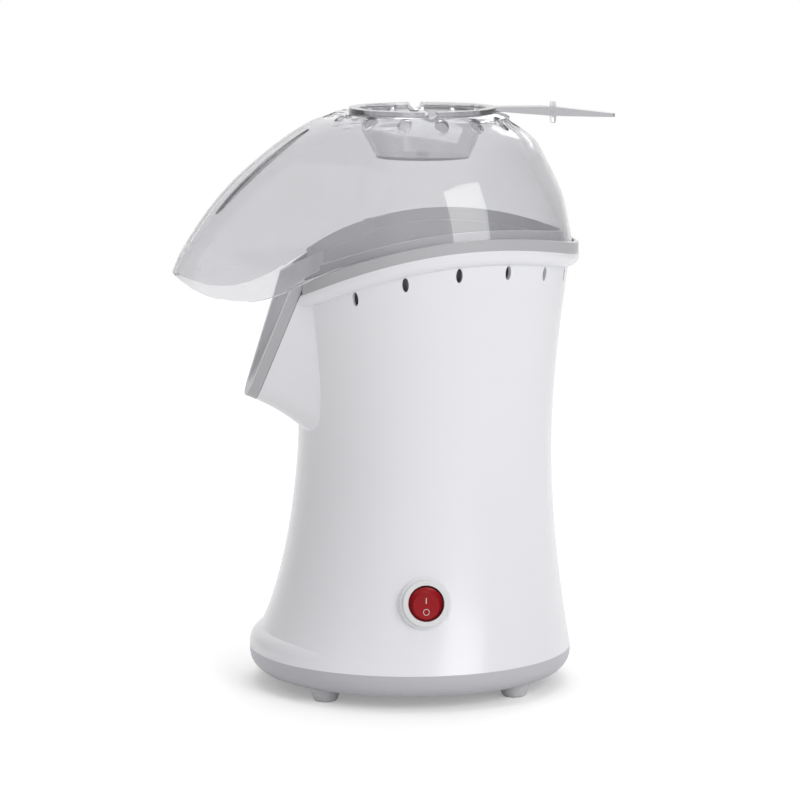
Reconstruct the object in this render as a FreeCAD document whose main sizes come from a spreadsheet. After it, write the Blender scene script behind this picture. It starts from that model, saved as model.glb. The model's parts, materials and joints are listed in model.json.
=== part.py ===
"""Hot-air popcorn maker: casing, clear dome, measuring cup and everything inside."""

import FreeCAD
import Part
import Sketcher
import math
import os
import re

Vector = FreeCAD.Vector
Rotation = FreeCAD.Rotation
Placement = FreeCAD.Placement

doc = FreeCAD.newDocument("PopcornMaker")
sheet = doc.addObject("Spreadsheet::Sheet", "Dims")
names = []
nodes = []


def size(name, value, note):
    """Keep one driving dimension in the sheet, with its own alias."""
    row = len(names) + 1
    sheet.set("A%d" % row, note)
    sheet.set("B%d" % row, str(value))
    sheet.setAlias("B%d" % row, name)
    names.append(name)


# General fits
size("fit_gap", 0.2, "clearance between assembled pieces")
size("lift_gap", 0.3, "clearance round pieces that lift off")
size("shaft_gap", 0.05, "radial clearance of a turning shaft")

# Base pan and feet
size("base_radius", 84, "radius of the base and of the casing's foot")
size("base_gap", 6.5, "height of the pan's underside")
size("pan_height", 12.5, "height of the base pan")
size("pan_wall", 2.7, "wall of the base pan")
size("pan_round", 10, "radius of the pan's lower edge")
size("foot_ring", 69, "distance of the feet from the middle")
size("foot_radius", 6.3, "radius of a foot's sole")
size("foot_flare", 1.6, "how much wider a foot is at its top")
size("foot_plug", 3, "radius of the plug that holds a foot")
size("intake_radius", 41, "radius of the field of air slots")
size("intake_width", 4, "width of an air slot")
size("intake_step", 8.2, "spacing of the air slots")
size("duct_ring", 6, "height of the ring that locates the duct")

# Casing: circles at five levels, each shifted towards the back
size("casing_wall", 2.5, "wall of the casing")
size("tower_axis", 8, "how far back the upper part stands")
size("skirt_level", 26, "height of the skirt over the seam")
size("skirt_shift", 4, "how far back the skirt stands")
size("skirt_radius", 76, "radius of the skirt")
size("hip_level", 61, "height of the hip over the seam")
size("hip_shift", 6.2, "how far back the hip stands")
size("hip_radius", 69.8, "radius of the hip")
size("waist_level", 106, "height of the waist over the seam")
size("waist_shift", 7.8, "how far back the waist stands")
size("waist_radius", 66.2, "radius of the waist")
size("chest_level", 161, "height of the chest over the seam")
size("chest_radius", 69.2, "radius of the chest")
size("crown_level", 223, "height where the flare is measured")
size("crown_radius", 76.4, "radius of the flare there")
size("toe_shift", 5.4, "how far the toe bulge stands forward")
size("toe_radius", 78.6, "radius of the toe bulge")
size("toe_height", 11, "height of the toe bulge")
size("toe_round", 9, "rounding of the toe bulge")

# The rim is one large arc seen from the side
size("rim_arc_x", 32, "place of the middle of the rim's arc")
size("rim_arc_z", 55.4, "height of the middle of the rim's arc")
size("rim_arc", 178, "radius of the casing's rim")
size("bead_radius", 79.6, "radius of the bead under the rim")
size("bead_height", 8, "height of the bead")
size("bead_round", 5.5, "rounding under the bead")
size("vent_drop", 11.8, "distance of the side vents under the rim")
size("vent_width", 3.4, "width of a side vent")
size("vent_length", 7.2, "height of a side vent")
size("vent_step", 20.8, "angle between side vents")

# Collar
size("band_radius", 79.3, "outside of the collar band")
size("band_height", 5.5, "height of the collar band")
size("lip_wall", 2.2, "wall of the collar's outer lip")
size("groove_floor", 2.4, "thickness under the dome's groove")
size("stand_radius", 71.6, "outside of the inner upstand")
size("stand_wall", 2, "wall of the inner upstand")
size("stand_height", 9, "height of the inner upstand")
size("funnel_radius", 68, "outside of the collar's inner wall")
size("funnel_wall", 2, "wall of the collar's inner part")
size("funnel_rise", 9, "rise of the funnel from its seat")
size("seat_height", 197, "height of the seat over the chamber")
size("collar_gap", 42, "half of the collar's front opening")

# Spout: three sections, from the mouth to the root
size("mouth_lean", 20, "lean of the mouth")
size("mouth_reach", 86, "distance of the lip in front of the middle")
size("mouth_height", 152, "height of the lip's underside")
size("mouth_flat", 3, "half of the flat under the lip")
size("mouth_round", 13, "corner radius of the mouth")
size("mouth_flare", 24, "flare of the mouth's sides")
size("throat_lean", 10, "lean of the throat")
size("throat_reach", 66, "distance of the throat's underside")
size("throat_height", 142.5, "height of the throat's underside")
size("throat_flat", 10, "half of the flat under the throat")
size("throat_round", 16, "corner radius of the throat")
size("throat_flare", 15, "flare of the throat's sides")
size("root_reach", 46, "distance of the spout's root")
size("root_height", 124, "height of the root's underside")
size("root_flat", 16, "half of the flat under the root")
size("root_round", 18, "corner radius of the root")
size("root_flare", 5, "flare of the root's sides")
size("spout_depth", 82, "height of the spout's sections")
size("trim_width", 5, "width of the grey trim round the mouth")
size("chute_wall", 2, "wall of the chute")
size("chute_gap", 0.5, "clearance of the chute in the spout")
size("slide_landing", 5.5, "length of the level landing at the slide's upper edge")
size("slide_flat", 19, "half of the flat at the slide's upper edge")
size("slide_round", 13, "corner radius at the slide's upper edge")

# Dome: level by level, its height over the rim's peak, how far its back and its
# radius draw in from the groove, its tip in front of the tower's axis and the tip's radius
size("dome_wall", 1.6, "wall of the clear dome")
DOME_LEVELS = (
    ("hem", -35.4, 0.4, 0.4, 138.0, 24.0),
    ("visor", -16.4, 0.3, 0.3, 130.7, 24.5),
    ("skirt", -0.4, 1.1, 1.1, 122.7, 26.0),
    ("flank", 14.6, 3.9, 3.9, 112.4, 29.0),
    ("side", 29.6, 9.1, 9.1, 99.3, 31.0),
    ("bow", 40.6, 14.7, 14.7, 87.0, 33.0),
    ("brow", 49.9, 20.2, 20.2, 75.0, 35.0),
    ("cap", 55.9, 27.4, 25.0, 66.0, 38.0),
    ("neck", 60.1, 33.6, 30.2, 58.0, 40.0),
    ("top", 64.1, 38.9, 36.8, 47.0, 38.5),
)
for level, rise, inset, taper, tip, nose in DOME_LEVELS:
    size("dome_%s_rise" % level, rise, "height of the dome's %s over the rim" % level)
    size("dome_%s_inset" % level, inset, "how far in the back of the dome's %s stands" % level)
    size("dome_%s_taper" % level, taper, "how much smaller the radius of the dome's %s is" % level)
    size("dome_%s_tip" % level, tip, "front of the dome's %s" % level)
    size("dome_%s_nose" % level, nose, "front radius of the dome's %s" % level)
size("hem_margin", 3, "how far behind its straight flanks the dome's edge leaves the groove")
size("visor_start", 70, "where the visor's edge curves, in front of the axis")
size("visor_arc_x", 99.3, "middle of the visor's edge, in front of the axis")
size("visor_arc_z", 20.2, "height of that middle over the rim's peak")
size("visor_arc", 49.1, "radius of the visor's edge")
size("steam_ring", 45, "distance of the steam holes from the cup's middle")
size("steam_width", 7.2, "width of a steam hole")
size("steam_length", 10.6, "length of a steam hole")
size("steam_tilt", 38, "tilt of a steam hole")
size("slit_offset", 15, "distance of the ridge slits from the middle")
size("slit_width", 3.2, "width of a ridge slit")
size("slit_length", 64, "length of a ridge slit")
size("slit_slope", 42, "slope of a ridge slit")
size("slit_reach", 85, "middle of a ridge slit, in front of the axis")
size("slit_rise", 35, "height of that middle over the rim's peak")

# Measuring cup
size("cup_axis", 6.5, "how far back the cup stands")
size("cup_radius", 38, "radius of the cup's rim")
size("cup_rim", 2.5, "thickness of the cup's rim")
size("cup_mouth", 34.6, "outside of the cup under its rim")
size("cup_depth", 26, "depth of the cup")
size("cup_foot", 24, "outside of the cup's floor")
size("cup_wall", 1.8, "wall of the cup")
size("cup_pip", 3.1, "radius of the pip in the cup's floor")
size("spout_pour", 4.4, "outer radius of the pouring lips")
size("handle_length", 101, "end of the handle from the cup's middle")
size("handle_width", 11, "width of the handle")
size("handle_drop", 4, "how far the handle's end lies under the rim")
size("handle_tip", 1.7, "thickness of the handle's end")
size("handle_depth", 4.7, "thickness of the handle at its stop")
size("stop_place", 66.8, "place of the finger stop from the cup's middle")
size("stop_radius", 5.9, "radius of the finger stop")
size("stop_wall", 2, "thickness of the finger stop")

# Popping chamber, duct and heater
size("chamber_radius", 49, "outside of the popping chamber")
size("chamber_step", 4, "how far the chamber's lower part is drawn in")
size("chamber_wall", 1, "wall of the popping chamber")
size("chamber_floor", 112, "height of the chamber's floor")
size("chamber_belt", 150, "height of the chamber's step")
size("chamber_flange", 6.5, "width of the chamber's flange")
size("louvre_length", 13, "height of a louvre")
size("louvre_width", 2.2, "width of a louvre")
size("louvre_tilt", 32, "tilt of a louvre")
size("gasket_thick", 1.5, "thickness of the gasket")
size("duct_wall", 0.8, "wall of the air duct")
size("plate_height", 91, "height of the heater plate")
size("plate_wall", 1.2, "thickness of the heater plate")
size("plate_hole", 5, "radius of a hole in the heater plate")
size("plate_ring", 36, "distance of those holes from the axis")
size("plate_eye", 21, "radius of the heater plate's eye")
size("mica_thick", 0.8, "thickness of a mica board")
size("mica_height", 12, "height of a mica board")
size("mica_reach", 47, "half of a mica board's length")
size("coil_start", 21, "inner radius of the heater coil")
size("coil_step", 3.6, "growth of the heater coil in half a turn")
size("coil_wire", 1.5, "radius of the heater coil's winding")
size("dropper_radius", 13, "radius of the dropper coil")
size("dropper_wire", 1.2, "radius of the dropper coil's winding")

# Fan and motor
size("fan_radius", 43, "radius of the fan")
size("fan_height", 15, "height of the fan's hub")
size("fan_floor", 22, "height of the fan's underside")
size("fan_hub", 7, "radius of the fan's hub")
size("blade_chord", 20, "chord of a fan blade")
size("blade_thick", 1.6, "thickness of a fan blade")
size("blade_pitch", 30, "pitch of a fan blade")
size("shaft_radius", 1.6, "radius of the motor shaft")
size("bracket_height", 44.5, "height of the motor bracket")
size("bracket_wall", 1.5, "thickness of the motor bracket")
size("bracket_hub", 20, "radius of the motor bracket's hub")
size("bracket_arm", 12, "width of a bracket arm")
size("bracket_tab", 12, "height of a bracket tab")
size("motor_radius", 17.8, "radius of the motor can")
size("motor_length", 34, "length of the motor can")
size("motor_wall", 1, "wall of the motor can")
size("motor_boss", 6.5, "radius of the motor's bearing boss")
size("boss_length", 3.5, "length of the motor's bearing boss")
size("magnet_thick", 3, "thickness of the motor's magnets")
size("magnet_length", 24, "length of the motor's magnets")
size("rotor_gap", 0.6, "air gap round the armature")
size("rotor_length", 20, "length of the armature")
size("commutator_radius", 4.2, "radius of the commutator")
size("commutator_length", 6, "length of the commutator")
size("end_cap_height", 4, "height of the motor's end cap")
size("board_stand", 3, "height of the stands under the rectifier board")
size("board_length", 28, "length of the rectifier board")
size("board_width", 18, "width of the rectifier board")
size("board_thick", 1.6, "thickness of the rectifier board")
size("screw_radius", 1.5, "radius of the small screws")
size("screw_head", 2.9, "radius of the small screws' heads")
size("head_height", 2, "height of the small screws' heads")

# Safety parts, terminals and gland
size("cutout_radius", 8, "radius of the thermostat")
size("cutout_depth", 7, "depth of the thermostat")
size("cutout_height", 140, "height of the thermostat")
size("cutout_tab", 4.4, "length of the thermostat's tabs")
size("fuse_radius", 2.1, "radius of the thermal fuse")
size("fuse_length", 12, "length of the thermal fuse")
size("fuse_angle", 50, "angle of the thermal fuse round the duct")
size("block_length", 22, "length of the terminal block")
size("block_width", 11, "width of the terminal block")
size("block_height", 12, "height of the terminal block")
size("block_place", 56, "distance of the terminal block in front of the middle")
size("block_aside", 23, "distance of the terminal block to the side")
size("gland_height", 40, "height of the cord gland")
size("gland_tilt", 17, "tilt of the cord gland")
size("gland_radius", 7.6, "radius of the gland's collar")
size("gland_neck", 5.2, "radius of the gland's neck")
size("gland_bore", 3.6, "radius of the gland's bore")
size("gland_collar", 2.4, "thickness of the gland's collar")
size("gland_nut", 2.6, "thickness of the gland's nut")

# Switch
size("switch_height", 54.5, "height of the switch")
size("switch_tilt", 11.3, "tilt of the switch")
size("pad_radius", 13.3, "radius of the pad round the switch")
size("pad_height", 1.4, "height of the pad")
size("pad_back", 0.8, "thickness of the flat behind the pad")
size("bezel_radius", 12.1, "radius of the switch's bezel")
size("bezel_height", 2, "height of the switch's bezel")
size("bezel_round", 0.9, "rounding of the bezel")
size("well_radius", 9.2, "radius of the switch's well")
size("well_depth", 11.6, "depth of the switch's well")
size("switch_wall", 1.3, "wall of the switch's body")
size("switch_floor", 1.8, "floor of the switch's body")
size("rocker_radius", 8.4, "radius of the rocker")
size("rocker_rise", 3.1, "height of the rocker's ends over the bezel's foot")
size("rocker_dip", 1.6, "height of the rocker's middle")
size("rocker_depth", 4.4, "how far the rocker reaches inwards")
size("rocker_tilt", 8, "tilt of the rocker at each stop")
size("pivot_depth", 1.5, "depth of the rocker's pivot")
size("pivot_radius", 1.2, "radius of the rocker's pivot")
size("plunger_radius", 1.1, "radius of the plunger")
size("plunger_depth", 8.7, "depth of the plunger's tip")
size("lever_depth", 9, "depth of the contact lever")
size("lever_thick", 0.6, "thickness of the contact lever")
size("lever_length", 11, "length of the contact lever")
size("lever_width", 5.4, "width of the contact lever")
size("lever_tilt", 5, "tilt of the contact lever at each stop")
size("tab_length", 7, "length of the switch's terminals")
size("tab_width", 4.8, "width of the switch's terminals")
size("tab_thick", 0.8, "thickness of the switch's terminals")
size("tab_step", 5.2, "spacing of the switch's terminals")

# Posts and base screws
size("post_ring", 66, "distance of the screw posts from the middle")
size("post_radius", 4.2, "radius of a screw post")
size("post_split", 24, "height where the pan's post meets the casing's post")
size("post_top", 36, "height of a casing post")
size("rib_thick", 3, "thickness of a post's rib")
size("base_screw", 1.6, "radius of a base screw")
size("base_screw_head", 3.1, "radius of a base screw's head")

VENT_COUNT = 13
STEAM_COUNT = 15
LOUVRE_COUNT = 20
BLADE_COUNT = 7
COIL_HALF_TURNS = 6
PLATE_HOLES = 8
doc.recompute()

gauge = doc.addObject("App::FeaturePython", "Gauge")
gauge.addProperty("App::PropertyFloat", "Reading")


def rule(text):
    """Write an expression with the sheet in front of each dimension's name."""
    def told(word):
        if word.group(0) in names:
            return "Dims." + word.group(0)
        return word.group(0)
    return re.sub(r"[a-z][a-z0-9_]*", told, text)


def number(text):
    """Read what an expression comes to."""
    gauge.setExpression("Reading", rule(text))
    gauge.recompute()
    return gauge.Reading


def bind(thing, **rules):
    """Bind properties of an object to expressions."""
    for prop, text in rules.items():
        thing.setExpression(prop, rule(text))


def place(thing, x="0", y="0", z="0", turn=None):
    """Put an object at a bound place, with an optional rotation."""
    if turn is not None:
        thing.Placement = Placement(Vector(0, 0, 0), turn)
    thing.setExpression("Placement.Base.x", rule(x))
    thing.setExpression("Placement.Base.y", rule(y))
    thing.setExpression("Placement.Base.z", rule(z))
    return thing


def about(axis, angle):
    """A rotation about a world axis, its angle an expression in degrees."""
    vectors = {"x": Vector(1, 0, 0), "y": Vector(0, 1, 0), "z": Vector(0, 0, 1)}
    return Rotation(vectors[axis], number(angle))


SIDE_VIEW = Rotation(Vector(1, 0, 0), 90)
FRONT_VIEW = Rotation(Vector(1, 1, 1), 120)


def outline(name, steps):
    """A closed sketch: each step is a corner and, where it bends, an arc to the next corner."""
    drawing = doc.addObject("Sketcher::SketchObject", name)
    corners = [(number(step[0]), number(step[1])) for step in steps]
    ends = []
    for index, step in enumerate(steps):
        start = corners[index]
        stop = corners[(index + 1) % len(steps)]
        if len(step) == 2:
            drawing.addGeometry(Part.LineSegment(Vector(*start, 0), Vector(*stop, 0)), False)
            ends.append((1, 2))
            continue
        ends.append(add_arc(drawing, start, stop, number(step[2]), step[3]))
    for index in range(len(steps)):
        after = (index + 1) % len(steps)
        joint = Sketcher.Constraint("Coincident", index, ends[index][1], after, ends[after][0])
        drawing.addConstraint(joint)
    for index, step in enumerate(steps):
        corner = ends[index][0]
        fix(drawing, step[0], "DistanceX", -1, 1, index, corner, corners[index][0])
        fix(drawing, step[1], "DistanceY", -1, 1, index, corner, corners[index][1])
        if len(step) == 4:
            fix(drawing, step[2], "Radius", index, number(step[2]))
    return drawing


def add_arc(drawing, start, stop, radius, side):
    """An arc of under half a circle, turning left (1) or right (-1); gives its two end numbers."""
    run = (stop[0] - start[0], stop[1] - start[1])
    chord = math.hypot(*run)
    rise = math.sqrt(max(radius ** 2 - chord ** 2 / 4, 0))
    middle_x = (start[0] + stop[0]) / 2 - side * run[1] / chord * rise
    middle_y = (start[1] + stop[1]) / 2 + side * run[0] / chord * rise
    first = math.atan2(start[1] - middle_y, start[0] - middle_x)
    last = math.atan2(stop[1] - middle_y, stop[0] - middle_x)
    if side < 0:
        first, last = last, first
    if last < first:
        last += 2 * math.pi
    circle = Part.Circle(Vector(middle_x, middle_y, 0), Vector(0, 0, 1), radius)
    drawing.addGeometry(Part.ArcOfCircle(circle, first, last), False)
    return (1, 2) if side > 0 else (2, 1)


def fix(drawing, text, *constraint):
    """Add a measured constraint and bind it."""
    index = drawing.addConstraint(Sketcher.Constraint(*constraint))
    drawing.setExpression("Constraints[%d]" % index, rule(text))


def egg(name, back, radius, front, nose, height):
    """A flat egg: a back arc and a front arc in two halves each, joined by tangent lines."""
    drawing = doc.addObject("Sketcher::SketchObject", name)
    big = number(radius)
    small = number(nose)
    big_middle = number(back) - big
    small_middle = number(front) + small
    lean = math.asin((big - small) / (big_middle - small_middle))
    slant = math.pi / 2 + lean
    up = Vector(0, 0, 1)
    rear_circle = Part.Circle(Vector(big_middle, 0, 0), up, big)
    front_circle = Part.Circle(Vector(small_middle, 0, 0), up, small)
    turn = 2 * math.pi
    arcs = (
        Part.ArcOfCircle(rear_circle, 0, slant),
        Part.ArcOfCircle(front_circle, slant, math.pi),
        Part.ArcOfCircle(front_circle, math.pi, turn - slant),
        Part.ArcOfCircle(rear_circle, turn - slant, turn),
    )
    drawing.addGeometry(arcs[0], False)
    upper = drawing.addGeometry(Part.LineSegment(arcs[0].EndPoint, arcs[1].StartPoint), False)
    drawing.addGeometry(arcs[1], False)
    drawing.addGeometry(arcs[2], False)
    lower = drawing.addGeometry(Part.LineSegment(arcs[2].EndPoint, arcs[3].StartPoint), False)
    drawing.addGeometry(arcs[3], False)
    for before, after in ((0, upper), (upper, 2), (3, lower), (lower, 5)):
        drawing.addConstraint(Sketcher.Constraint("Tangent", before, 2, after, 1))
    for before, after in ((2, 3), (5, 0)):
        drawing.addConstraint(Sketcher.Constraint("Coincident", before, 2, after, 1))
        drawing.addConstraint(Sketcher.Constraint("Coincident", before, 3, after, 3))
        drawing.addConstraint(Sketcher.Constraint("PointOnObject", after, 1, -1))
        drawing.addConstraint(Sketcher.Constraint("PointOnObject", after, 3, -1))
    fix(drawing, "%s - (%s)" % (back, radius), "DistanceX", -1, 1, 0, 3, big_middle)
    fix(drawing, "%s + (%s)" % (front, nose), "DistanceX", -1, 1, 2, 3, small_middle)
    fix(drawing, radius, "Radius", 0, big)
    fix(drawing, nose, "Radius", 2, small)
    return place(drawing, z=height)


def trough(name, part, inset, reach, height, lean, floor):
    """A spout section: a flat floor, two round corners and flaring sides, closed at the top."""
    flat = "%s_flat" % part
    bend = "(%s_round - (%s))" % (part, inset)
    middle = "(%s + %s_round)" % (floor, part)
    flare = "%s_flare" % part if part != "slide" else "root_flare"
    side_x = "(%s + %s * cos(%s))" % (flat, bend, flare)
    side_y = "(%s - %s * sin(%s))" % (middle, bend, flare)
    top_x = "(%s + (spout_depth - %s) * tan(%s))" % (side_x, side_y, flare)
    bottom = "(%s - %s)" % (middle, bend)
    drawing = outline(name, (
        ("-" + flat, bottom),
        (flat, bottom, bend, 1),
        (side_x, side_y),
        (top_x, "spout_depth"),
        ("-" + top_x, "spout_depth"),
        ("-" + side_x, side_y, bend, 1),
    ))
    place(drawing, x="-(%s)" % reach, z=height, turn=about("y", lean) * FRONT_VIEW)
    return drawing


def push(name, drawing, direction, length, both=False):
    """Push a sketch into a solid."""
    solid = doc.addObject("Part::Extrusion", name)
    solid.Base = drawing
    solid.DirMode = "Custom"
    solid.Dir = direction
    solid.Solid = True
    solid.Symmetric = both
    bind(solid, LengthFwd=length)
    return solid


def turned(name, steps):
    """A solid of revolution about its own Z axis, from corners given as radius and height."""
    drawing = outline(name + "_outline", steps)
    drawing.Placement = Placement(Vector(0, 0, 0), SIDE_VIEW)
    solid = doc.addObject("Part::Revolution", name)
    solid.Source = drawing
    solid.Axis = Vector(0, 0, 1)
    solid.Base = Vector(0, 0, 0)
    solid.Angle = 360
    solid.Solid = True
    return solid


def loft(name, sections):
    """A smooth solid through its sections."""
    solid = doc.addObject("Part::Loft", name)
    solid.Sections = sections
    solid.Solid = True
    solid.Ruled = False
    return solid


def rod(name, radius, height):
    """A plain cylinder about its own Z axis."""
    solid = doc.addObject("Part::Cylinder", name)
    bind(solid, Radius=radius, Height=height)
    return solid


def slab(name, length, width, height):
    """A plain box from its own corner."""
    solid = doc.addObject("Part::Box", name)
    bind(solid, Length=length, Width=width, Height=height)
    return solid


def oval(name, width, length, depth):
    """A prism with an oval section, its length along its own X axis."""
    edge = doc.addObject("Part::Ellipse", name + "_edge")
    bind(edge, MajorRadius="(%s) / 2" % length, MinorRadius="(%s) / 2" % width)
    return push(name, edge, Vector(0, 0, 1), depth, True)


def fuse(name, things):
    """Join solids into one."""
    joined = doc.addObject("Part::MultiFuse", name)
    joined.Shapes = things
    return joined


def cut(name, base, tools):
    """Take tools away from a solid."""
    tool = tools[0]
    if len(tools) > 1:
        tool = fuse(name + "_tools", tools)
    left = doc.addObject("Part::Cut", name)
    left.Base = base
    left.Tool = tool
    return left


def cut_in_turn(name, base, tools):
    """Take tools away from a solid one after another, for walls that many tools cross."""
    left = base
    for index, tool in enumerate(tools):
        left = cut("%s_%d" % (name, index), left, [tool])
    return left


def common(name, first, second):
    """What two solids share."""
    shared = doc.addObject("Part::Common", name)
    shared.Base = first
    shared.Tool = second
    return shared


def keep(name, thing):
    """Name a finished sub-part; its label names its file."""
    thing.Label = name
    nodes.append(thing)
    return thing


def group(name, things):
    """Identical small pieces that stay separate solids under one name."""
    together = doc.addObject("Part::Compound", name + "_set")
    together.Links = things
    return keep(name, together)


# Heights and places that several pieces share
PAN_FLOOR = "(base_gap + pan_wall)"
SEAM = "(base_gap + pan_height)"
RIM_TOP = "(rim_arc_z + rim_arc)"
FLANGE_TOP = "(seat_height - gasket_thick)"
DUCT_INSIDE = "(chamber_radius + fit_gap)"
DUCT_OUTSIDE = "(chamber_radius + fit_gap + duct_wall)"
DUCT_TOP = "(%s - chamber_wall)" % FLANGE_TOP
DOME_TOP = "(%s + dome_top_rise)" % RIM_TOP
DOME_FIT = "(band_radius - lip_wall - lift_gap)"
SLIDE_REACH = "(chamber_radius + chamber_flange + fit_gap - tower_axis)"
POST_ANGLE = 22.5
BRACKET_TOP = "(bracket_height + bracket_wall)"
MOTOR_TOP = "(%s + motor_length)" % BRACKET_TOP
CAP_TOP = "(%s + end_cap_height)" % MOTOR_TOP
MICA_TOP = "(plate_height + plate_wall + mica_height)"


def on_arc(radius, x):
    """Height of an arc about the rim's middle at a place along X."""
    return "(rim_arc_z + sqrt((%s)^2 - ((%s) - rim_arc_x)^2))" % (radius, x)


ARC_FRONT = "(rim_arc_x - 128)"
ARC_BACK = "(rim_arc_x + 76)"


def arc_slab(name, low, high):
    """What lies between two arcs about the rim's middle, right across the part."""
    drawing = outline(name + "_outline", (
        (ARC_FRONT, on_arc(low, ARC_FRONT), low, -1),
        (ARC_BACK, on_arc(low, ARC_BACK)),
        (ARC_BACK, on_arc(high, ARC_BACK), high, 1),
        (ARC_FRONT, on_arc(high, ARC_FRONT)),
    ))
    drawing.Placement = Placement(Vector(0, 0, 0), SIDE_VIEW)
    return push(name, drawing, Vector(0, 1, 0), "4 * base_radius", True)


def tower_ring(name, inside, outside):
    """A tall ring about the tower's axis."""
    outer = place(rod(name + "_outer", outside, "2 * rim_arc"), x="tower_axis")
    inner = place(rod(name + "_inner", inside, "2 * rim_arc"), x="tower_axis")
    return cut(name, outer, [inner])


def arc_ring(name, inside, outside, low, high):
    """A ring about the tower's axis, bounded by two arcs seen from the side."""
    return common(name, tower_ring(name + "_ring", inside, outside), arc_slab(name + "_slab", low, high))


def tower_form(name, inset):
    """The casing's outer form, or its hollow when it is inset."""
    levels = (
        (SEAM, "0", "base_radius"),
        ("%s + skirt_level" % SEAM, "skirt_shift", "skirt_radius"),
        ("%s + hip_level" % SEAM, "hip_shift", "hip_radius"),
        ("%s + waist_level" % SEAM, "waist_shift", "waist_radius"),
        ("%s + chest_level" % SEAM, "tower_axis", "chest_radius"),
        ("%s + crown_level" % SEAM, "tower_axis", "crown_radius"),
    )
    circles = []
    for index, (height, shift, radius) in enumerate(levels):
        circle = doc.addObject("Part::Circle", "%s_circle_%d" % (name, index))
        bind(circle, Radius="%s - (%s)" % (radius, inset))
        circles.append(place(circle, x=shift, z=height))
    return loft(name, circles)


def spout_form(name, inset):
    """The spout's outer form, or its hollow when it is inset."""
    return loft(name, [
        trough(name + "_mouth", "mouth", inset, "mouth_reach", "mouth_height", "mouth_lean", "0"),
        trough(name + "_throat", "throat", inset, "throat_reach", "throat_height", "throat_lean", "0"),
        trough(name + "_root", "root", inset, "root_reach", "root_height", "0", "0"),
    ])


def mouth_block(name, depth):
    """A block in front of the mouth's plane, reaching a depth behind it."""
    block = slab(name, "mouth_reach", "4 * collar_gap", "3 * spout_depth")
    lean = "mouth_lean"
    back = "((%s) - mouth_reach)" % depth
    x = "-mouth_reach + %s * cos(%s) - spout_depth * sin(%s)" % (back, lean, lean)
    z = "mouth_height - %s * sin(%s) - spout_depth * cos(%s)" % (back, lean, lean)
    return place(block, x=x, y="-2 * collar_gap", z=z, turn=about("y", lean))


def on_tower(height):
    """Centre and radius of the casing between the skirt and the hip, taken as straight."""
    share = "((%s - %s - skirt_level) / (hip_level - skirt_level))" % (height, SEAM)
    shift = "(skirt_shift + %s * (hip_shift - skirt_shift))" % share
    radius = "(skirt_radius + %s * (hip_radius - skirt_radius))" % share
    return shift, radius


def wall_place(height, tilt, side, stand):
    """A point on the casing's side wall, and the rotation that turns Z to face out of it."""
    shift, radius = on_tower(height)
    y = "%s(sqrt(%s^2 - %s^2) + (%s) * cos(%s))" % (side, radius, shift, stand, tilt)
    z = "(%s + (%s) * sin(%s))" % (height, stand, tilt)
    angle = "90 - %s" % tilt if side == "-" else "%s - 90" % tilt
    return y, z, about("x", angle)


SWITCH_Y, SWITCH_Z, SWITCH_TURN = wall_place("switch_height", "switch_tilt", "-", "pad_height")
GLAND_Y, GLAND_Z, GLAND_TURN = wall_place("gland_height", "gland_tilt", "", "pad_height")


def in_switch(thing, depth="0", turn=None):
    """Move a piece made about the switch's axis to its place; depth runs inwards."""
    y = "%s + (%s) * cos(switch_tilt)" % (SWITCH_Y, depth)
    z = "%s - (%s) * sin(switch_tilt)" % (SWITCH_Z, depth)
    whole = SWITCH_TURN if turn is None else SWITCH_TURN * turn
    return place(thing, y=y, z=z, turn=whole)


def in_gland(thing):
    """Move a piece made about the gland's axis to its place."""
    return place(thing, y=GLAND_Y, z=GLAND_Z, turn=GLAND_TURN)


def round_the_middle(make, count, first, ring, axis="0", z="0"):
    """Copies of a piece on a circle, each turned to face out."""
    made = []
    for index in range(count):
        angle = "(%g + %g)" % (first, 360 * index / count)
        x = "%s + %s * cos(%s)" % (axis, ring, angle)
        y = "%s * sin(%s)" % (ring, angle)
        made.append(place(make(index), x=x, y=y, z=z, turn=about("z", angle)))
    return made


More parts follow.
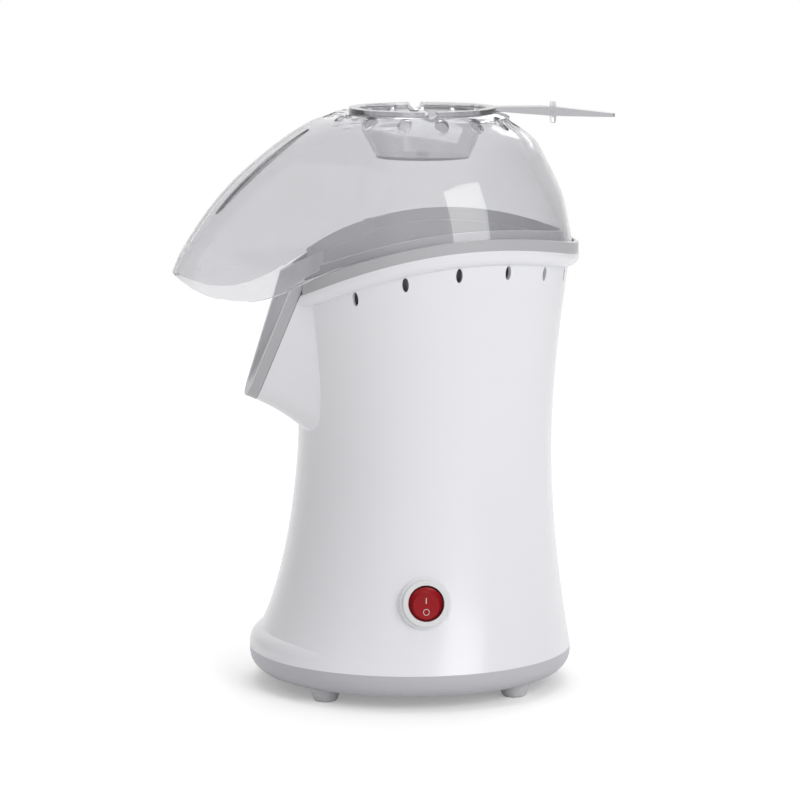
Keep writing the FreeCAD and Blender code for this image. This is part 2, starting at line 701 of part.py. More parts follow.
def make_pan():
    low = "base_gap"
    flat = "(base_radius - pan_round)"
    inner_round = "(pan_round - pan_wall)"
    dish = turned("pan_dish", (
        ("0", low),
        (flat, low, "pan_round", 1),
        ("base_radius", low + " + pan_round"),
        ("base_radius", SEAM),
        ("base_radius - pan_wall", SEAM),
        ("base_radius - pan_wall", low + " + pan_round", inner_round, -1),
        (flat, PAN_FLOOR),
        ("0", PAN_FLOOR),
    ))
    ring = cut("pan_ring", place(rod("pan_ring_outer", DUCT_OUTSIDE + " + fit_gap + pan_wall",
                                     "pan_wall + duct_ring"), x="tower_axis", z=low),
               [place(rod("pan_ring_inner", DUCT_OUTSIDE + " + fit_gap", "pan_wall + duct_ring"),
                      x="tower_axis", z=low)])
    posts = round_the_middle(lambda k: rod("pan_post_%d" % k, "post_radius", "post_split - base_gap"),
                             4, POST_ANGLE, "post_ring", z=low)
    soles = round_the_middle(lambda k: rod("pan_sole_%d" % k, "foot_radius + foot_flare", "pan_round"),
                             4, 45, "foot_ring", z=low)
    tools = []
    rows = int(number("0.95 * intake_radius / intake_step"))
    for row in range(-rows, rows + 1):
        across = "(%d * intake_step)" % row
        half = "sqrt(intake_radius^2 - %s^2)" % across
        slot = slab("intake_%d" % (row + rows), "2 * " + half, "intake_width", "3 * pan_wall")
        tools.append(place(slot, x="tower_axis - " + half, y=across + " - intake_width / 2",
                           z=low + " - pan_wall"))
    shaft = "base_screw + fit_gap"
    tools += round_the_middle(lambda k: rod("pan_bore_%d" % k, shaft, "2 * post_split"), 4, POST_ANGLE, "post_ring")
    tools += round_the_middle(lambda k: rod("pan_sink_%d" % k, "base_screw_head + fit_gap",
                                            low + " + head_height + pan_wall"), 4, POST_ANGLE, "post_ring")
    tools += round_the_middle(lambda k: rod("pan_socket_%d" % k, "foot_plug + fit_gap", "2 * pan_round"),
                              4, 45, "foot_ring")
    keep("base_pan", cut("pan", fuse("pan_body", [dish, ring] + posts + soles), tools))


def make_feet():
    for index in range(4):
        angle = "(%g)" % (45 + 90 * index)
        foot = turned("foot_%d_form" % (index + 1), (
            ("0", "0"),
            ("foot_radius - 1", "0"),
            ("foot_radius", "1"),
            ("foot_radius + foot_flare", "base_gap"),
            ("foot_plug", "base_gap"),
            ("foot_plug", "base_gap + pan_round"),
            ("0", "base_gap + pan_round"),
        ))
        place(foot, x="foot_ring * cos(%s)" % angle, y="foot_ring * sin(%s)" % angle)
        keep("foot_%d" % (index + 1), foot)


def make_base_screws():
    screws = []
    for index in range(4):
        angle = "(%g)" % (POST_ANGLE + 90 * index)
        screw = turned("base_screw_%d" % index, (
            ("0", "base_gap + pan_wall"),
            ("base_screw_head", "base_gap + pan_wall"),
            ("base_screw_head", "base_gap + pan_wall + head_height"),
            ("base_screw", "base_gap + pan_wall + head_height"),
            ("base_screw", "post_top - pan_wall"),
            ("0", "post_top - pan_wall"),
        ))
        screws.append(place(screw, x="post_ring * cos(%s)" % angle, y="post_ring * sin(%s)" % angle))
    group("base_screws", screws)


def make_casing():
    outer = tower_form("tower_outer", "0")
    inner = tower_form("tower_inner", "casing_wall")
    toe = toe_form("toe", "0", "toe_height")
    toe_hollow = toe_form("toe_hollow", "casing_wall", "toe_height - casing_wall")
    bead = make_bead()
    spout = spout_form("spout_outer", "0")
    spout_hollow = spout_form("spout_hollow", "casing_wall")
    shell = cut("casing_shell", fuse("casing_body", [outer, toe, bead, spout]),
                [inner, toe_hollow, spout_hollow])
    posts = common("casing_posts", fuse("post_bodies", make_posts()), tower_form("tower_limit", "fit_gap"))
    switch_pad = turned("switch_pad", (
        ("0", "-pad_height - casing_wall - pad_back"),
        ("pad_radius", "-pad_height - casing_wall - pad_back"),
        ("pad_radius", "-pad_height / 2"),
        ("pad_radius - pad_height / 2", "0"),
        ("0", "0"),
    ))
    gland_pad = turned("gland_pad", (
        ("0", "-pad_height - casing_wall - pad_back"),
        ("gland_radius + pad_height", "-pad_height - casing_wall - pad_back"),
        ("gland_radius + pad_height / 2", "0"),
        ("0", "0"),
    ))
    solid = fuse("casing_solid", [shell, posts, in_switch(switch_pad), in_gland(gland_pad)])
    tools = [arc_slab("casing_sky", "rim_arc", "rim_arc + base_radius")]
    tools.append(mouth_block("casing_front", "trim_width + fit_gap"))
    tools += make_side_vents()
    through = "2 * (pad_height + casing_wall)"
    switch_hole = rod("switch_hole", "well_radius + switch_wall + fit_gap", "4 * " + through)
    gland_hole = rod("gland_hole", "gland_neck + fit_gap", "4 * " + through)
    tools.append(in_switch(switch_hole, "2 * " + through))
    y = "%s - 2 * %s * cos(gland_tilt)" % (GLAND_Y, through)
    z = "%s - 2 * %s * sin(gland_tilt)" % (GLAND_Z, through)
    tools.append(place(gland_hole, y=y, z=z, turn=GLAND_TURN))
    tools += round_the_middle(lambda k: rod("post_bore_%d" % k, "base_screw + shaft_gap", "post_top - pan_wall / 2"),
                              4, POST_ANGLE, "post_ring")
    keep("casing", cut("casing_cut", solid, tools))


def toe_form(name, inset, height):
    return place(turned(name, (
        ("0", SEAM),
        ("toe_radius - (%s)" % inset, SEAM),
        ("toe_radius - (%s)" % inset, "%s + (%s) - toe_round" % (SEAM, height), "toe_round", 1),
        ("toe_radius - (%s) - toe_round" % inset, "%s + (%s)" % (SEAM, height)),
        ("0", "%s + (%s)" % (SEAM, height)),
    )), x="-toe_shift")


def make_bead():
    ring = arc_ring("bead_ring", "bead_radius / 2", "bead_radius", "rim_arc - bead_height", "rim_arc")
    doc.recompute()
    edges = []
    for index, edge in enumerate(ring.Shape.Edges):
        point = edge.valueAt((edge.FirstParameter + edge.LastParameter) / 2)
        away = math.hypot(point.x - number("tower_axis"), point.y)
        below = math.hypot(point.x - number("rim_arc_x"), point.z - number("rim_arc_z"))
        outside = abs(away - number("bead_radius")) < 0.01
        lower = abs(below - number("rim_arc - bead_height")) < 0.01
        if outside and lower:
            edges.append((index + 1, number("bead_round"), number("bead_round")))
    rounded = doc.addObject("Part::Fillet", "bead")
    rounded.Base = ring
    rounded.Edges = edges
    return rounded


def make_posts():
    def one(index):
        post = place(rod("casing_post_%d" % index, "post_radius", "post_top - post_split"), z="post_split")
        rib = place(slab("casing_rib_%d" % index, "base_radius - post_ring", "rib_thick",
                         "post_top - post_split"), y="-rib_thick / 2", z="post_split")
        return fuse("casing_mount_%d" % index, [post, rib])
    return round_the_middle(one, 4, POST_ANGLE, "post_ring")


def make_side_vents():
    vents = []
    half = VENT_COUNT // 2
    for index in range(-half, half + 1):
        angle = "(%d * vent_step)" % index
        x = "(tower_axis + crown_radius * cos(%s))" % angle
        y = "(crown_radius * sin(%s))" % angle
        z = on_arc("rim_arc", x) + " - vent_drop"
        turn = about("z", angle) * Rotation(Vector(0, 1, 0), -90)
        tool = oval("side_vent_%d" % (index + half), "vent_width", "vent_length", "crown_radius / 2")
        vents.append(place(tool, x=x, y=y, z=z, turn=turn))
    return vents


def make_collar():
    groove = "rim_arc + groove_floor"
    web = arc_ring("collar_web", "funnel_radius - funnel_wall", "band_radius", "rim_arc", groove)
    lip = arc_ring("collar_lip", "band_radius - lip_wall", "band_radius", "rim_arc", "rim_arc + band_height")
    stand = arc_ring("collar_stand", "stand_radius - stand_wall", "stand_radius", "rim_arc",
                     "rim_arc + stand_height")
    inside = "(chamber_radius - chamber_wall)"
    wall = "(funnel_radius - funnel_wall)"
    slope = "funnel_rise / 2"
    funnel = place(turned("collar_funnel", (
        (inside, "seat_height"),
        ("funnel_radius - " + slope, "seat_height"),
        ("funnel_radius", "seat_height + funnel_rise"),
        ("funnel_radius", RIM_TOP + " + stand_height"),
        (wall, RIM_TOP + " + stand_height"),
        (wall, "seat_height + funnel_rise + 1"),
        ("funnel_radius - funnel_wall - " + slope, "seat_height + 1.4 * funnel_wall"),
        (inside, "seat_height + funnel_wall"),
    )), x="tower_axis")
    bowl = common("collar_bowl", funnel, arc_slab("collar_floor", "0.77 * rim_arc", groove))
    gap = place(slab("collar_front", "2 * base_radius", "2 * collar_gap", "2 * seat_height"),
                x="-2 * base_radius - %s + slide_landing + fit_gap" % SLIDE_REACH, y="-collar_gap")
    keep("collar", cut("collar_cut", fuse("collar_body", [web, lip, stand, bowl]), [gap]))


def make_chute():
    offset = "casing_wall + chute_gap"
    inner = "(%s + chute_wall)" % offset
    upper = "seat_height + fit_gap - mouth_height"
    floor = "(%s)" % upper
    outside = loft("chute_outside", [
        trough("chute_outside_mouth", "mouth", offset, "mouth_reach", "mouth_height", "mouth_lean", "0"),
        trough("chute_outside_top", "slide", "0", SLIDE_REACH, "mouth_height", "0", floor),
    ])
    inside = loft("chute_inside", [
        trough("chute_inside_mouth", "mouth", inner, "mouth_reach", "mouth_height", "mouth_lean", "0"),
        trough("chute_inside_top", "slide", "chute_wall", SLIDE_REACH, "mouth_height", "0", floor),
    ])
    ledge = push("chute_ledge", trough("chute_ledge_outside", "slide", "0", SLIDE_REACH, "mouth_height", "0",
                                       floor), Vector(1, 0, 0), "slide_landing")
    ledge_hollow = push("chute_ledge_hollow", trough("chute_ledge_inside", "slide", "chute_wall", SLIDE_REACH,
                                                     "mouth_height", "0", floor),
                        Vector(1, 0, 0), "2 * slide_landing")
    trim = common("chute_trim", spout_form("chute_trim_form", "0"), mouth_block("chute_front", "trim_width"))
    sky = arc_slab("chute_sky", "rim_arc + band_height", "rim_arc + base_radius")
    body = fuse("chute_body", [outside, trim, ledge])
    keep("chute", cut("chute_cut", body, [inside, ledge_hollow, sky]))


def dome_form(name, inset):
    sections = []
    for level in DOME_LEVELS:
        part = "dome_" + level[0]
        sections.append(egg(
            "%s_%s" % (name, level[0]),
            "(tower_axis + %s - %s_inset - (%s))" % (DOME_FIT, part, inset),
            "(%s - %s_taper - (%s))" % (DOME_FIT, part, inset),
            "(tower_axis - %s_tip + (%s))" % (part, inset),
            "(%s_nose - (%s))" % (part, inset),
            "%s + %s_rise - (%s)" % (RIM_TOP, part, inset),
        ))
    return loft(name, sections)


def dome_underside():
    """All that lies under the dome's edge: the groove, the collar's lip and the visor's curve."""
    groove = "(rim_arc + groove_floor + lift_gap)"
    over = "(rim_arc + band_height + lift_gap)"
    slant = "(%s - dome_hem_nose) / (dome_hem_tip - dome_hem_nose)" % DOME_FIT
    step = "(tower_axis + hem_margin - %s * %s)" % (DOME_FIT, slant)
    start = "(tower_axis - visor_start)"
    middle = "(tower_axis - visor_arc_x)"
    height = "(%s + visor_arc_z)" % RIM_TOP
    end = "(%s - 0.95 * visor_arc)" % middle
    def on_visor(x):
        return "(%s - sqrt(visor_arc^2 - (%s - %s)^2))" % (height, x, middle)
    drawing = outline("dome_under_outline", (
        (ARC_BACK, "0"),
        (ARC_BACK, on_arc(groove, ARC_BACK), groove, 1),
        (step, on_arc(groove, step)),
        (step, on_arc(over, step), over, 1),
        (start, on_arc(over, start)),
        (start, on_visor(start), "visor_arc", -1),
        (end, on_visor(end)),
        (end, "0"),
    ))
    drawing.Placement = Placement(Vector(0, 0, 0), SIDE_VIEW)
    return push("dome_under", drawing, Vector(0, 1, 0), "4 * base_radius", True)


def make_dome():
    shell = cut("dome_shell", dome_form("dome_outer", "0"), [dome_form("dome_inner", "dome_wall")])
    mouth = place(rod("dome_mouth", "cup_mouth + lift_gap", "cup_depth"), x="cup_axis",
                  z=DOME_TOP + " - cup_depth / 2")
    lips = place(rod("dome_lips", "spout_pour + lift_gap", "3 * cup_radius"), x="cup_axis",
                 y="-1.5 * cup_radius", z=DOME_TOP + " + cup_rim", turn=Rotation(Vector(1, 0, 0), -90))
    tools = [dome_underside(), mouth, lips] + make_steam_holes() + make_slits()
    keep("dome", cut_in_turn("dome_cut", shell, tools))


def make_steam_holes():
    holes = []
    for index in range(STEAM_COUNT):
        angle = "(%g)" % (180 + 360 * index / STEAM_COUNT)
        tool = oval("steam_hole_%d" % index, "steam_width", "steam_length", "1.6 * steam_length")
        turn = about("z", angle) * about("y", "steam_tilt")
        x = "cup_axis + steam_ring * cos(%s)" % angle
        y = "steam_ring * sin(%s)" % angle
        z = "%s - cup_rim - steam_ring * (1 + cos(%s)) / 24" % (DOME_TOP, angle)
        holes.append(place(tool, x=x, y=y, z=z, turn=turn))
    return holes


def make_slits():
    slits = []
    for index, side in enumerate(("", "-")):
        turn = about("y", "-slit_slope")
        long_tool = slab("slit_%d" % index, "slit_length", "slit_width", "slit_length / 3")
        half = "slit_length / 2"
        x = "tower_axis - slit_reach - %s * cos(slit_slope)" % half
        z = "%s + slit_rise - %s * sin(slit_slope)" % (RIM_TOP, half)
        y = "%sslit_offset - slit_width / 2" % side
        slits.append(place(long_tool, x=x, y=y, z=z, turn=turn))
    return slits


def make_cup():
    rim = DOME_TOP
    top = "(%s + cup_rim)" % rim
    floor = "(%s - cup_depth)" % top
    bowl = place(turned("cup_bowl", (
        ("0", floor),
        ("cup_foot", floor),
        ("cup_mouth", rim),
        ("cup_radius", rim),
        ("cup_radius", top),
        ("cup_mouth - cup_wall", top),
        ("cup_foot - cup_wall", floor + " + cup_wall"),
        ("0", floor + " + cup_wall"),
    )), x="cup_axis")
    pip = place(rod("cup_pip_form", "cup_pip", "2 * cup_wall"), x="cup_axis", z=floor)
    lips = place(rod("cup_lips", "spout_pour", "2 * cup_radius + spout_pour / 2"), x="cup_axis",
                 y="-cup_radius - spout_pour / 4", z=top, turn=Rotation(Vector(1, 0, 0), -90))
    lip_ring = common("cup_lip_ring", lips, lip_limit())
    groove = place(rod("cup_groove", "spout_pour - cup_wall / 1.5", "3 * cup_radius"), x="cup_axis",
                   y="-1.5 * cup_radius", z=top, turn=Rotation(Vector(1, 0, 0), -90))
    body = fuse("cup_body", [bowl, pip, lip_ring, make_handle(top)])
    keep("measuring_cup", cut("cup_cut", body, [groove]))


def lip_limit():
    """The ring in which the pouring lips stand, up to the cup's rim."""
    top = "(%s + cup_rim)" % DOME_TOP
    outer = place(rod("lip_limit_outer", "cup_radius + spout_pour", "spout_pour"), x="cup_axis",
                  z=top + " - spout_pour")
    inner = place(rod("lip_limit_inner", "cup_mouth - cup_wall", "2 * spout_pour"), x="cup_axis",
                  z=top + " - 1.5 * spout_pour")
    return cut("lip_limit", outer, [inner])


def make_handle(top):
    start = "(cup_axis + cup_mouth)"
    stop = "(cup_axis + stop_place)"
    end = "(cup_axis + handle_length)"
    side = outline("handle_side", (
        (start, top),
        (stop, top),
        (end, top + " - handle_drop"),
        (end, top + " - handle_drop - handle_tip"),
        (stop, top + " - handle_depth"),
        ("cup_axis + cup_radius + cup_rim", top + " - cup_rim"),
        (start, top + " - cup_rim"),
    ))
    side.Placement = Placement(Vector(0, 0, 0), SIDE_VIEW)
    beam = push("handle_beam", side, Vector(0, 1, 0), "4 * handle_width", True)
    plan = outline("handle_plan", (
        (start, "-handle_width / 2"),
        (end + " - handle_width / 2", "-handle_width / 2", "0.505 * handle_width", 1),
        (end + " - handle_width / 2", "handle_width / 2"),
        (start, "handle_width / 2"),
    ))
    blank = push("handle_blank", plan, Vector(0, 0, 1), "2 * rim_arc")
    disc = place(rod("handle_stop", "stop_radius", "stop_wall"), x=stop, z=top + " - handle_depth / 2 - 0.8",
                 turn=Rotation(Vector(0, 1, 0), 90))
    return fuse("handle", [common("handle_bar", beam, blank), disc])


def make_chamber():
    low = "(chamber_radius - chamber_step)"
    floor = "chamber_floor"
    cup = place(turned("chamber_form", (
        ("0", floor),
        (low + " - 3", floor),
        (low, floor + " + 3"),
        (low, "chamber_belt - chamber_step"),
        ("chamber_radius", "chamber_belt"),
        ("chamber_radius", DUCT_TOP),
        ("chamber_radius + chamber_flange", DUCT_TOP),
        ("chamber_radius + chamber_flange", FLANGE_TOP),
        ("chamber_radius - chamber_wall", FLANGE_TOP),
        ("chamber_radius - chamber_wall", "chamber_belt"),
        (low + " - chamber_wall", "chamber_belt - chamber_step"),
        (low + " - chamber_wall", floor + " + 3"),
        (low + " - 3", floor + " + chamber_wall"),
        ("0", floor + " + chamber_wall"),
    )), x="tower_axis")

    def louvre(index):
        tool = slab("louvre_%d" % index, "6 * chamber_wall", "louvre_width", "louvre_length")
        return tool
    tools = []
    for index in range(LOUVRE_COUNT):
        angle = "(%g)" % (360 * index / LOUVRE_COUNT)
        ring = "(%s - 3 * chamber_wall)" % low
        x = "tower_axis + %s * cos(%s)" % (ring, angle)
        y = "%s * sin(%s)" % (ring, angle)
        turn = about("z", angle) * about("x", "louvre_tilt")
        tools.append(place(louvre(index), x=x, y=y, z=floor + " + 2 * louvre_width", turn=turn))
    keep("popping_chamber", cut("chamber_cut", cup, tools))


def make_gasket():
    ring = place(rod("gasket_outer", "chamber_radius + chamber_flange", "gasket_thick"),
                 x="tower_axis", z=FLANGE_TOP)
    hole = place(rod("gasket_inner", "chamber_radius", "3 * gasket_thick"),
                 x="tower_axis", z=FLANGE_TOP + " - gasket_thick")
    keep("chamber_gasket", cut("gasket", ring, [hole]))


def tab_screw_place(index):
    """Angle of one of the three bracket tabs."""
    return "(%g)" % (30 + 120 * index)


TAB_FACE = "(%s - bracket_wall)" % DUCT_INSIDE
TAB_HEIGHT = "(%s + bracket_tab / 2)" % BRACKET_TOP


def radial(thing, angle, ring, height):
    """Point a piece made along Z outwards at an angle."""
    x = "tower_axis + (%s) * cos(%s)" % (ring, angle)
    y = "(%s) * sin(%s)" % (ring, angle)
    return place(thing, x=x, y=y, z=height, turn=about("z", angle) * Rotation(Vector(0, 1, 0), 90))


def make_duct():
    outer = place(rod("duct_outer", DUCT_OUTSIDE, "%s - %s" % (DUCT_TOP, PAN_FLOOR)), x="tower_axis", z=PAN_FLOOR)
    tools = [place(rod("duct_inner", DUCT_INSIDE, "2 * seat_height"), x="tower_axis")]
    for index in range(3):
        hole = rod("duct_hole_%d" % index, "screw_radius + fit_gap", "6 * bracket_wall")
        tools.append(radial(hole, tab_screw_place(index), DUCT_INSIDE + " - 2 * bracket_wall", TAB_HEIGHT))
    keep("air_duct", cut("duct", outer, tools))


def make_bracket():
    hub = place(rod("bracket_disc", "bracket_hub", "bracket_wall"), x="tower_axis", z="bracket_height")
    reach = "sqrt((%s - fit_gap)^2 - (bracket_arm / 2)^2)" % DUCT_INSIDE
    solids = [hub]
    tools = [place(rod("bracket_eye", "motor_boss + fit_gap", "3 * bracket_wall"), x="tower_axis",
                   z="bracket_height - bracket_wall")]
    for index in range(3):
        angle = tab_screw_place(index)
        arm = place(slab("bracket_arm_%d" % index, reach, "bracket_arm", "bracket_wall"),
                    y="-bracket_arm / 2")
        tab = place(slab("bracket_tab_%d" % index, "bracket_wall", "bracket_arm", "bracket_tab + bracket_wall"),
                    x=reach + " - bracket_wall", y="-bracket_arm / 2")
        leg = fuse("bracket_leg_%d" % index, [arm, tab])
        solids.append(place(leg, x="tower_axis", z="bracket_height", turn=about("z", angle)))
        hole = rod("bracket_hole_%d" % index, "screw_radius", "8 * bracket_wall")
        tools.append(radial(hole, angle, TAB_FACE + " - 4 * bracket_wall", TAB_HEIGHT))
    for index, side in enumerate(("", "-")):
        hole = rod("bracket_bore_%d" % index, "screw_radius + fit_gap", "3 * bracket_wall")
        y = "%s(motor_radius + motor_boss) / 2" % side
        tools.append(place(hole, x="tower_axis", y=y, z="bracket_height - bracket_wall"))
    keep("motor_bracket", cut("bracket", fuse("bracket_body", solids), tools))
    screws = []
    for index in range(3):
        screws.append(radial(screw_form("bracket_screw_%d" % index, "3 * bracket_wall"),
                             tab_screw_place(index), DUCT_OUTSIDE + " + fit_gap / 2", TAB_HEIGHT))
    group("bracket_screws", screws)


def screw_form(name, length):
    """A pan-head screw: its head stands on Z=0 and its shank runs down."""
    return turned(name, (
        ("0", "-(%s)" % length),
        ("screw_radius", "-(%s)" % length),
        ("screw_radius", "0"),
        ("screw_head", "0"),
        ("screw_head", "head_height / 2"),
        ("screw_head - head_height / 2", "head_height"),
        ("0", "head_height"),
    ))


def make_motor():
    low = BRACKET_TOP
    boss = "(%s - boss_length)" % low
    can = place(turned("motor_form", (
        ("shaft_radius + shaft_gap", boss),
        ("motor_boss", boss),
        ("motor_boss", low),
        ("motor_radius", low),
        ("motor_radius", MOTOR_TOP),
        ("motor_radius - motor_wall", MOTOR_TOP),
        ("motor_radius - motor_wall", low + " + 2 * motor_wall"),
        ("shaft_radius + shaft_gap", low + " + 2 * motor_wall"),
    )), x="tower_axis")
    tools = []
    screws = []
    for index, side in enumerate(("", "-")):
        y = "%s(motor_radius + motor_boss) / 2" % side
        hole = rod("motor_bore_%d" % index, "screw_radius", "6 * motor_wall")
        tools.append(place(hole, x="tower_axis", y=y, z=low + " - motor_wall"))
        screw = screw_form("motor_screw_%d" % index, "bracket_wall + 2 * motor_wall")
        screws.append(place(screw, x="tower_axis", y=y, z="bracket_height", turn=Rotation(Vector(1, 0, 0), 180)))
    keep("motor_can", cut("motor", can, tools))
    group("motor_screws", screws)
    make_magnets()
    make_rotor()
    make_end_cap()


def make_magnets():
    outside = "(motor_radius - motor_wall - fit_gap / 4)"
    low = "(%s + (motor_length - magnet_length) / 2)" % BRACKET_TOP
    outer = place(rod("magnet_outer", outside, "magnet_length"), x="tower_axis", z=low)
    inner = place(rod("magnet_inner", outside + " - magnet_thick", "3 * magnet_length"), x="tower_axis",
                  z=low + " - magnet_length")
    gap = place(slab("magnet_gap", "3 * motor_radius", "motor_radius / 2", "3 * magnet_length"),
                x="tower_axis - 1.5 * motor_radius", y="-motor_radius / 4", z=low + " - magnet_length")
    keep("motor_magnets", cut("magnets", outer, [inner, gap]))


def make_rotor():
    low = "(%s + (motor_length - rotor_length) / 2)" % BRACKET_TOP
    radius = "(motor_radius - motor_wall - magnet_thick - rotor_gap)"
    core = place(rod("armature_core", radius, "rotor_length"), x="tower_axis", z=low)
    tools = [place(rod("armature_bore", "shaft_radius", "3 * rotor_length"), x="tower_axis",
                   z=low + " - rotor_length")]
    for index in range(3):
        angle = "(%g)" % (120 * index)
        slot = place(slab("armature_slot_%d" % index, radius, "rotor_length / 8", "3 * rotor_length"),
                     x="tower_axis", z=low + " - rotor_length", turn=about("z", angle))
        tools.append(slot)
        slot.setExpression("Placement.Base.x", rule("tower_axis + 0.6 * %s * cos(%s)" % (radius, angle)))
        slot.setExpression("Placement.Base.y", rule("0.6 * %s * sin(%s)" % (radius, angle)))
    keep("motor_armature", cut("armature", core, tools))
    ring = place(rod("commutator_outer", "commutator_radius", "commutator_length"), x="tower_axis",
                 z="%s - commutator_length / 2" % MOTOR_TOP)
    bore = place(rod("commutator_bore", "shaft_radius", "3 * rotor_length"), x="tower_axis", z=low)
    keep("commutator", cut("commutator_cut", ring, [bore]))
    shaft = rod("shaft", "shaft_radius", "%s - fan_floor" % CAP_TOP)
    keep("motor_shaft", place(shaft, x="tower_axis", z="fan_floor"))


def make_end_cap():
    hollow = "(%s + commutator_length / 2 + fit_gap)" % MOTOR_TOP
    brush = "(commutator_radius + fit_gap)"
    cap = place(turned("end_cap_form", (
        ("commutator_radius + 1", MOTOR_TOP),
        ("motor_radius - motor_wall / 2", MOTOR_TOP),
        ("motor_radius - motor_wall / 2", CAP_TOP),
        ("shaft_radius + shaft_gap", CAP_TOP),
        ("shaft_radius + shaft_gap", hollow),
        ("commutator_radius + 1", hollow),
    )), x="tower_axis")
    stands = []
    brushes = []
    for index, side in enumerate(("", "-")):
        stand = rod("board_stand_%d" % index, "screw_head", "board_stand + end_cap_height / 2")
        stands.append(place(stand, x="tower_axis %s board_length / 3" % (side or "+"),
                            z=CAP_TOP + " - end_cap_height / 2"))
        carbon = slab("brush_%d" % index, "motor_radius / 3", "commutator_radius / 1.5", "commutator_length / 3")
        x = "tower_axis + %s" % brush if side == "" else "tower_axis - %s - motor_radius / 3" % brush
        brushes.append(place(carbon, x=x, y="-commutator_radius / 3",
                             z="%s - commutator_length / 3 - fit_gap / 2" % MOTOR_TOP))
    keep("motor_end_cap", fuse("end_cap", [cap] + stands))
    group("motor_brushes", brushes)
    top = "(%s + board_stand)" % CAP_TOP
    keep("rectifier_board", place(slab("board", "board_length", "board_width", "board_thick"),
                                  x="tower_axis - board_length / 2", y="-board_width / 2", z=top))
    diodes = []
    for index in range(4):
        diode = slab("diode_%d" % index, "board_length / 6", "board_width / 5", "board_thick")
        x = "tower_axis + board_length * (%g)" % (-0.3 + 0.43 * (index % 2))
        y = "board_width * (%g)" % (-0.32 + 0.43 * (index // 2))
        diodes.append(place(diode, x=x, y=y, z=top + " + board_thick"))
    group("rectifier_diodes", diodes)


def make_fan():
    hub = rod("fan_hub_form", "fan_hub", "fan_height")
    blades = []
    for index in range(BLADE_COUNT):
        angle = "(%g)" % (360 * index / BLADE_COUNT)
        blade = slab("blade_%d" % index, "fan_radius - fan_hub / 2", "blade_chord", "blade_thick")
        lean = "blade_pitch"
        across = "blade_chord / 2"
        turn = about("z", angle) * about("x", lean)
        middle_y = "(-%s * cos(%s) + blade_thick / 2 * sin(%s))" % (across, lean, lean)
        middle_z = "(-%s * sin(%s) - blade_thick / 2 * cos(%s))" % (across, lean, lean)
        x = "fan_hub / 2 * cos(%s) - %s * sin(%s)" % (angle, middle_y, angle)
        y = "fan_hub / 2 * sin(%s) + %s * cos(%s)" % (angle, middle_y, angle)
        blades.append(place(blade, x=x, y=y, z="fan_height / 2 + %s" % middle_z, turn=turn))
    limit = rod("fan_limit", "fan_radius", "fan_height")
    wheel = common("fan_wheel", fuse("fan_blades", blades), limit)
    bore = place(rod("fan_bore", "shaft_radius", "3 * fan_height"), z="-fan_height")
    fan = cut("fan_cut", fuse("fan_body", [hub, wheel]), [bore])
    keep("fan", place(fan, x="tower_axis", z="fan_floor"))


def make_heater():
    disc = place(rod("plate_disc", DUCT_INSIDE + " - fit_gap", "plate_wall"), x="tower_axis", z="plate_height")
    tools = [place(rod("plate_eye_tool", "plate_eye", "3 * plate_wall"), x="tower_axis",
                   z="plate_height - plate_wall")]
    for index in range(PLATE_HOLES):
        angle = "(%g)" % (22.5 + 360 * index / PLATE_HOLES)
        hole = rod("plate_hole_%d" % index, "plate_hole", "3 * plate_wall")
        tools.append(place(hole, x="tower_axis + plate_ring * cos(%s)" % angle,
                           y="plate_ring * sin(%s)" % angle, z="plate_height - plate_wall"))
    keep("heater_plate", cut("plate", disc, tools))
    low = "(plate_height + plate_wall)"
    half = "mica_height / 2"
    for index, name in enumerate(("mica_board_long", "mica_board_cross")):
        board = place(slab("mica_%d" % index, "2 * mica_reach", "mica_thick", "mica_height"),
                      x="-mica_reach", y="-mica_thick / 2")
        lap = slab("mica_lap_%d" % index, "mica_thick + fit_gap", "3 * mica_thick", "mica_height")
        edge = half + " - fit_gap / 2" if index == 0 else "-mica_height / 2 + fit_gap / 2"
        place(lap, x="-(mica_thick + fit_gap) / 2", y="-1.5 * mica_thick", z=edge)
        shaped = cut("mica_cut_%d" % index, board, [lap])
        keep(name, place(shaped, x="tower_axis", z=low, turn=Rotation(Vector(0, 0, 1), 90 * index)))
    make_coil()
    ring = doc.addObject("Part::Torus", "dropper")
    bind(ring, Radius1="dropper_radius", Radius2="dropper_wire")
    keep("dropper_coil", place(ring, x="tower_axis", z=MICA_TOP + " + dropper_wire + fit_gap / 2"))


def make_coil():
    """A flat spiral of half turns: each half turn's middle moves along X by half the growth."""
    wire = number("coil_wire")
    height = number(MICA_TOP + " + coil_wire + fit_gap / 2")
    axis = number("tower_axis")
    edges = []
    start = number("coil_start")
    for index in range(COIL_HALF_TURNS):
        radius = start + number("coil_step") * index
        middle = axis - (0 if index % 2 == 0 else number("coil_step"))
        side = 1 if index % 2 == 0 else -1
        first = Vector(middle + side * radius, 0, height)
        top = Vector(middle, side * radius, height)
        last = Vector(middle - side * radius, 0, height)
        edges.append(Part.Arc(first, top, last).toShape())
    path = Part.Wire(edges)
    section = Part.Wire([Part.makeCircle(wire, edges[0].Vertexes[0].Point, Vector(0, 1, 0))])
    coil = doc.addObject("Part::Feature", "coil")
    coil.Shape = path.makePipeShell([section], True, False)
    keep("heater_coil", coil)


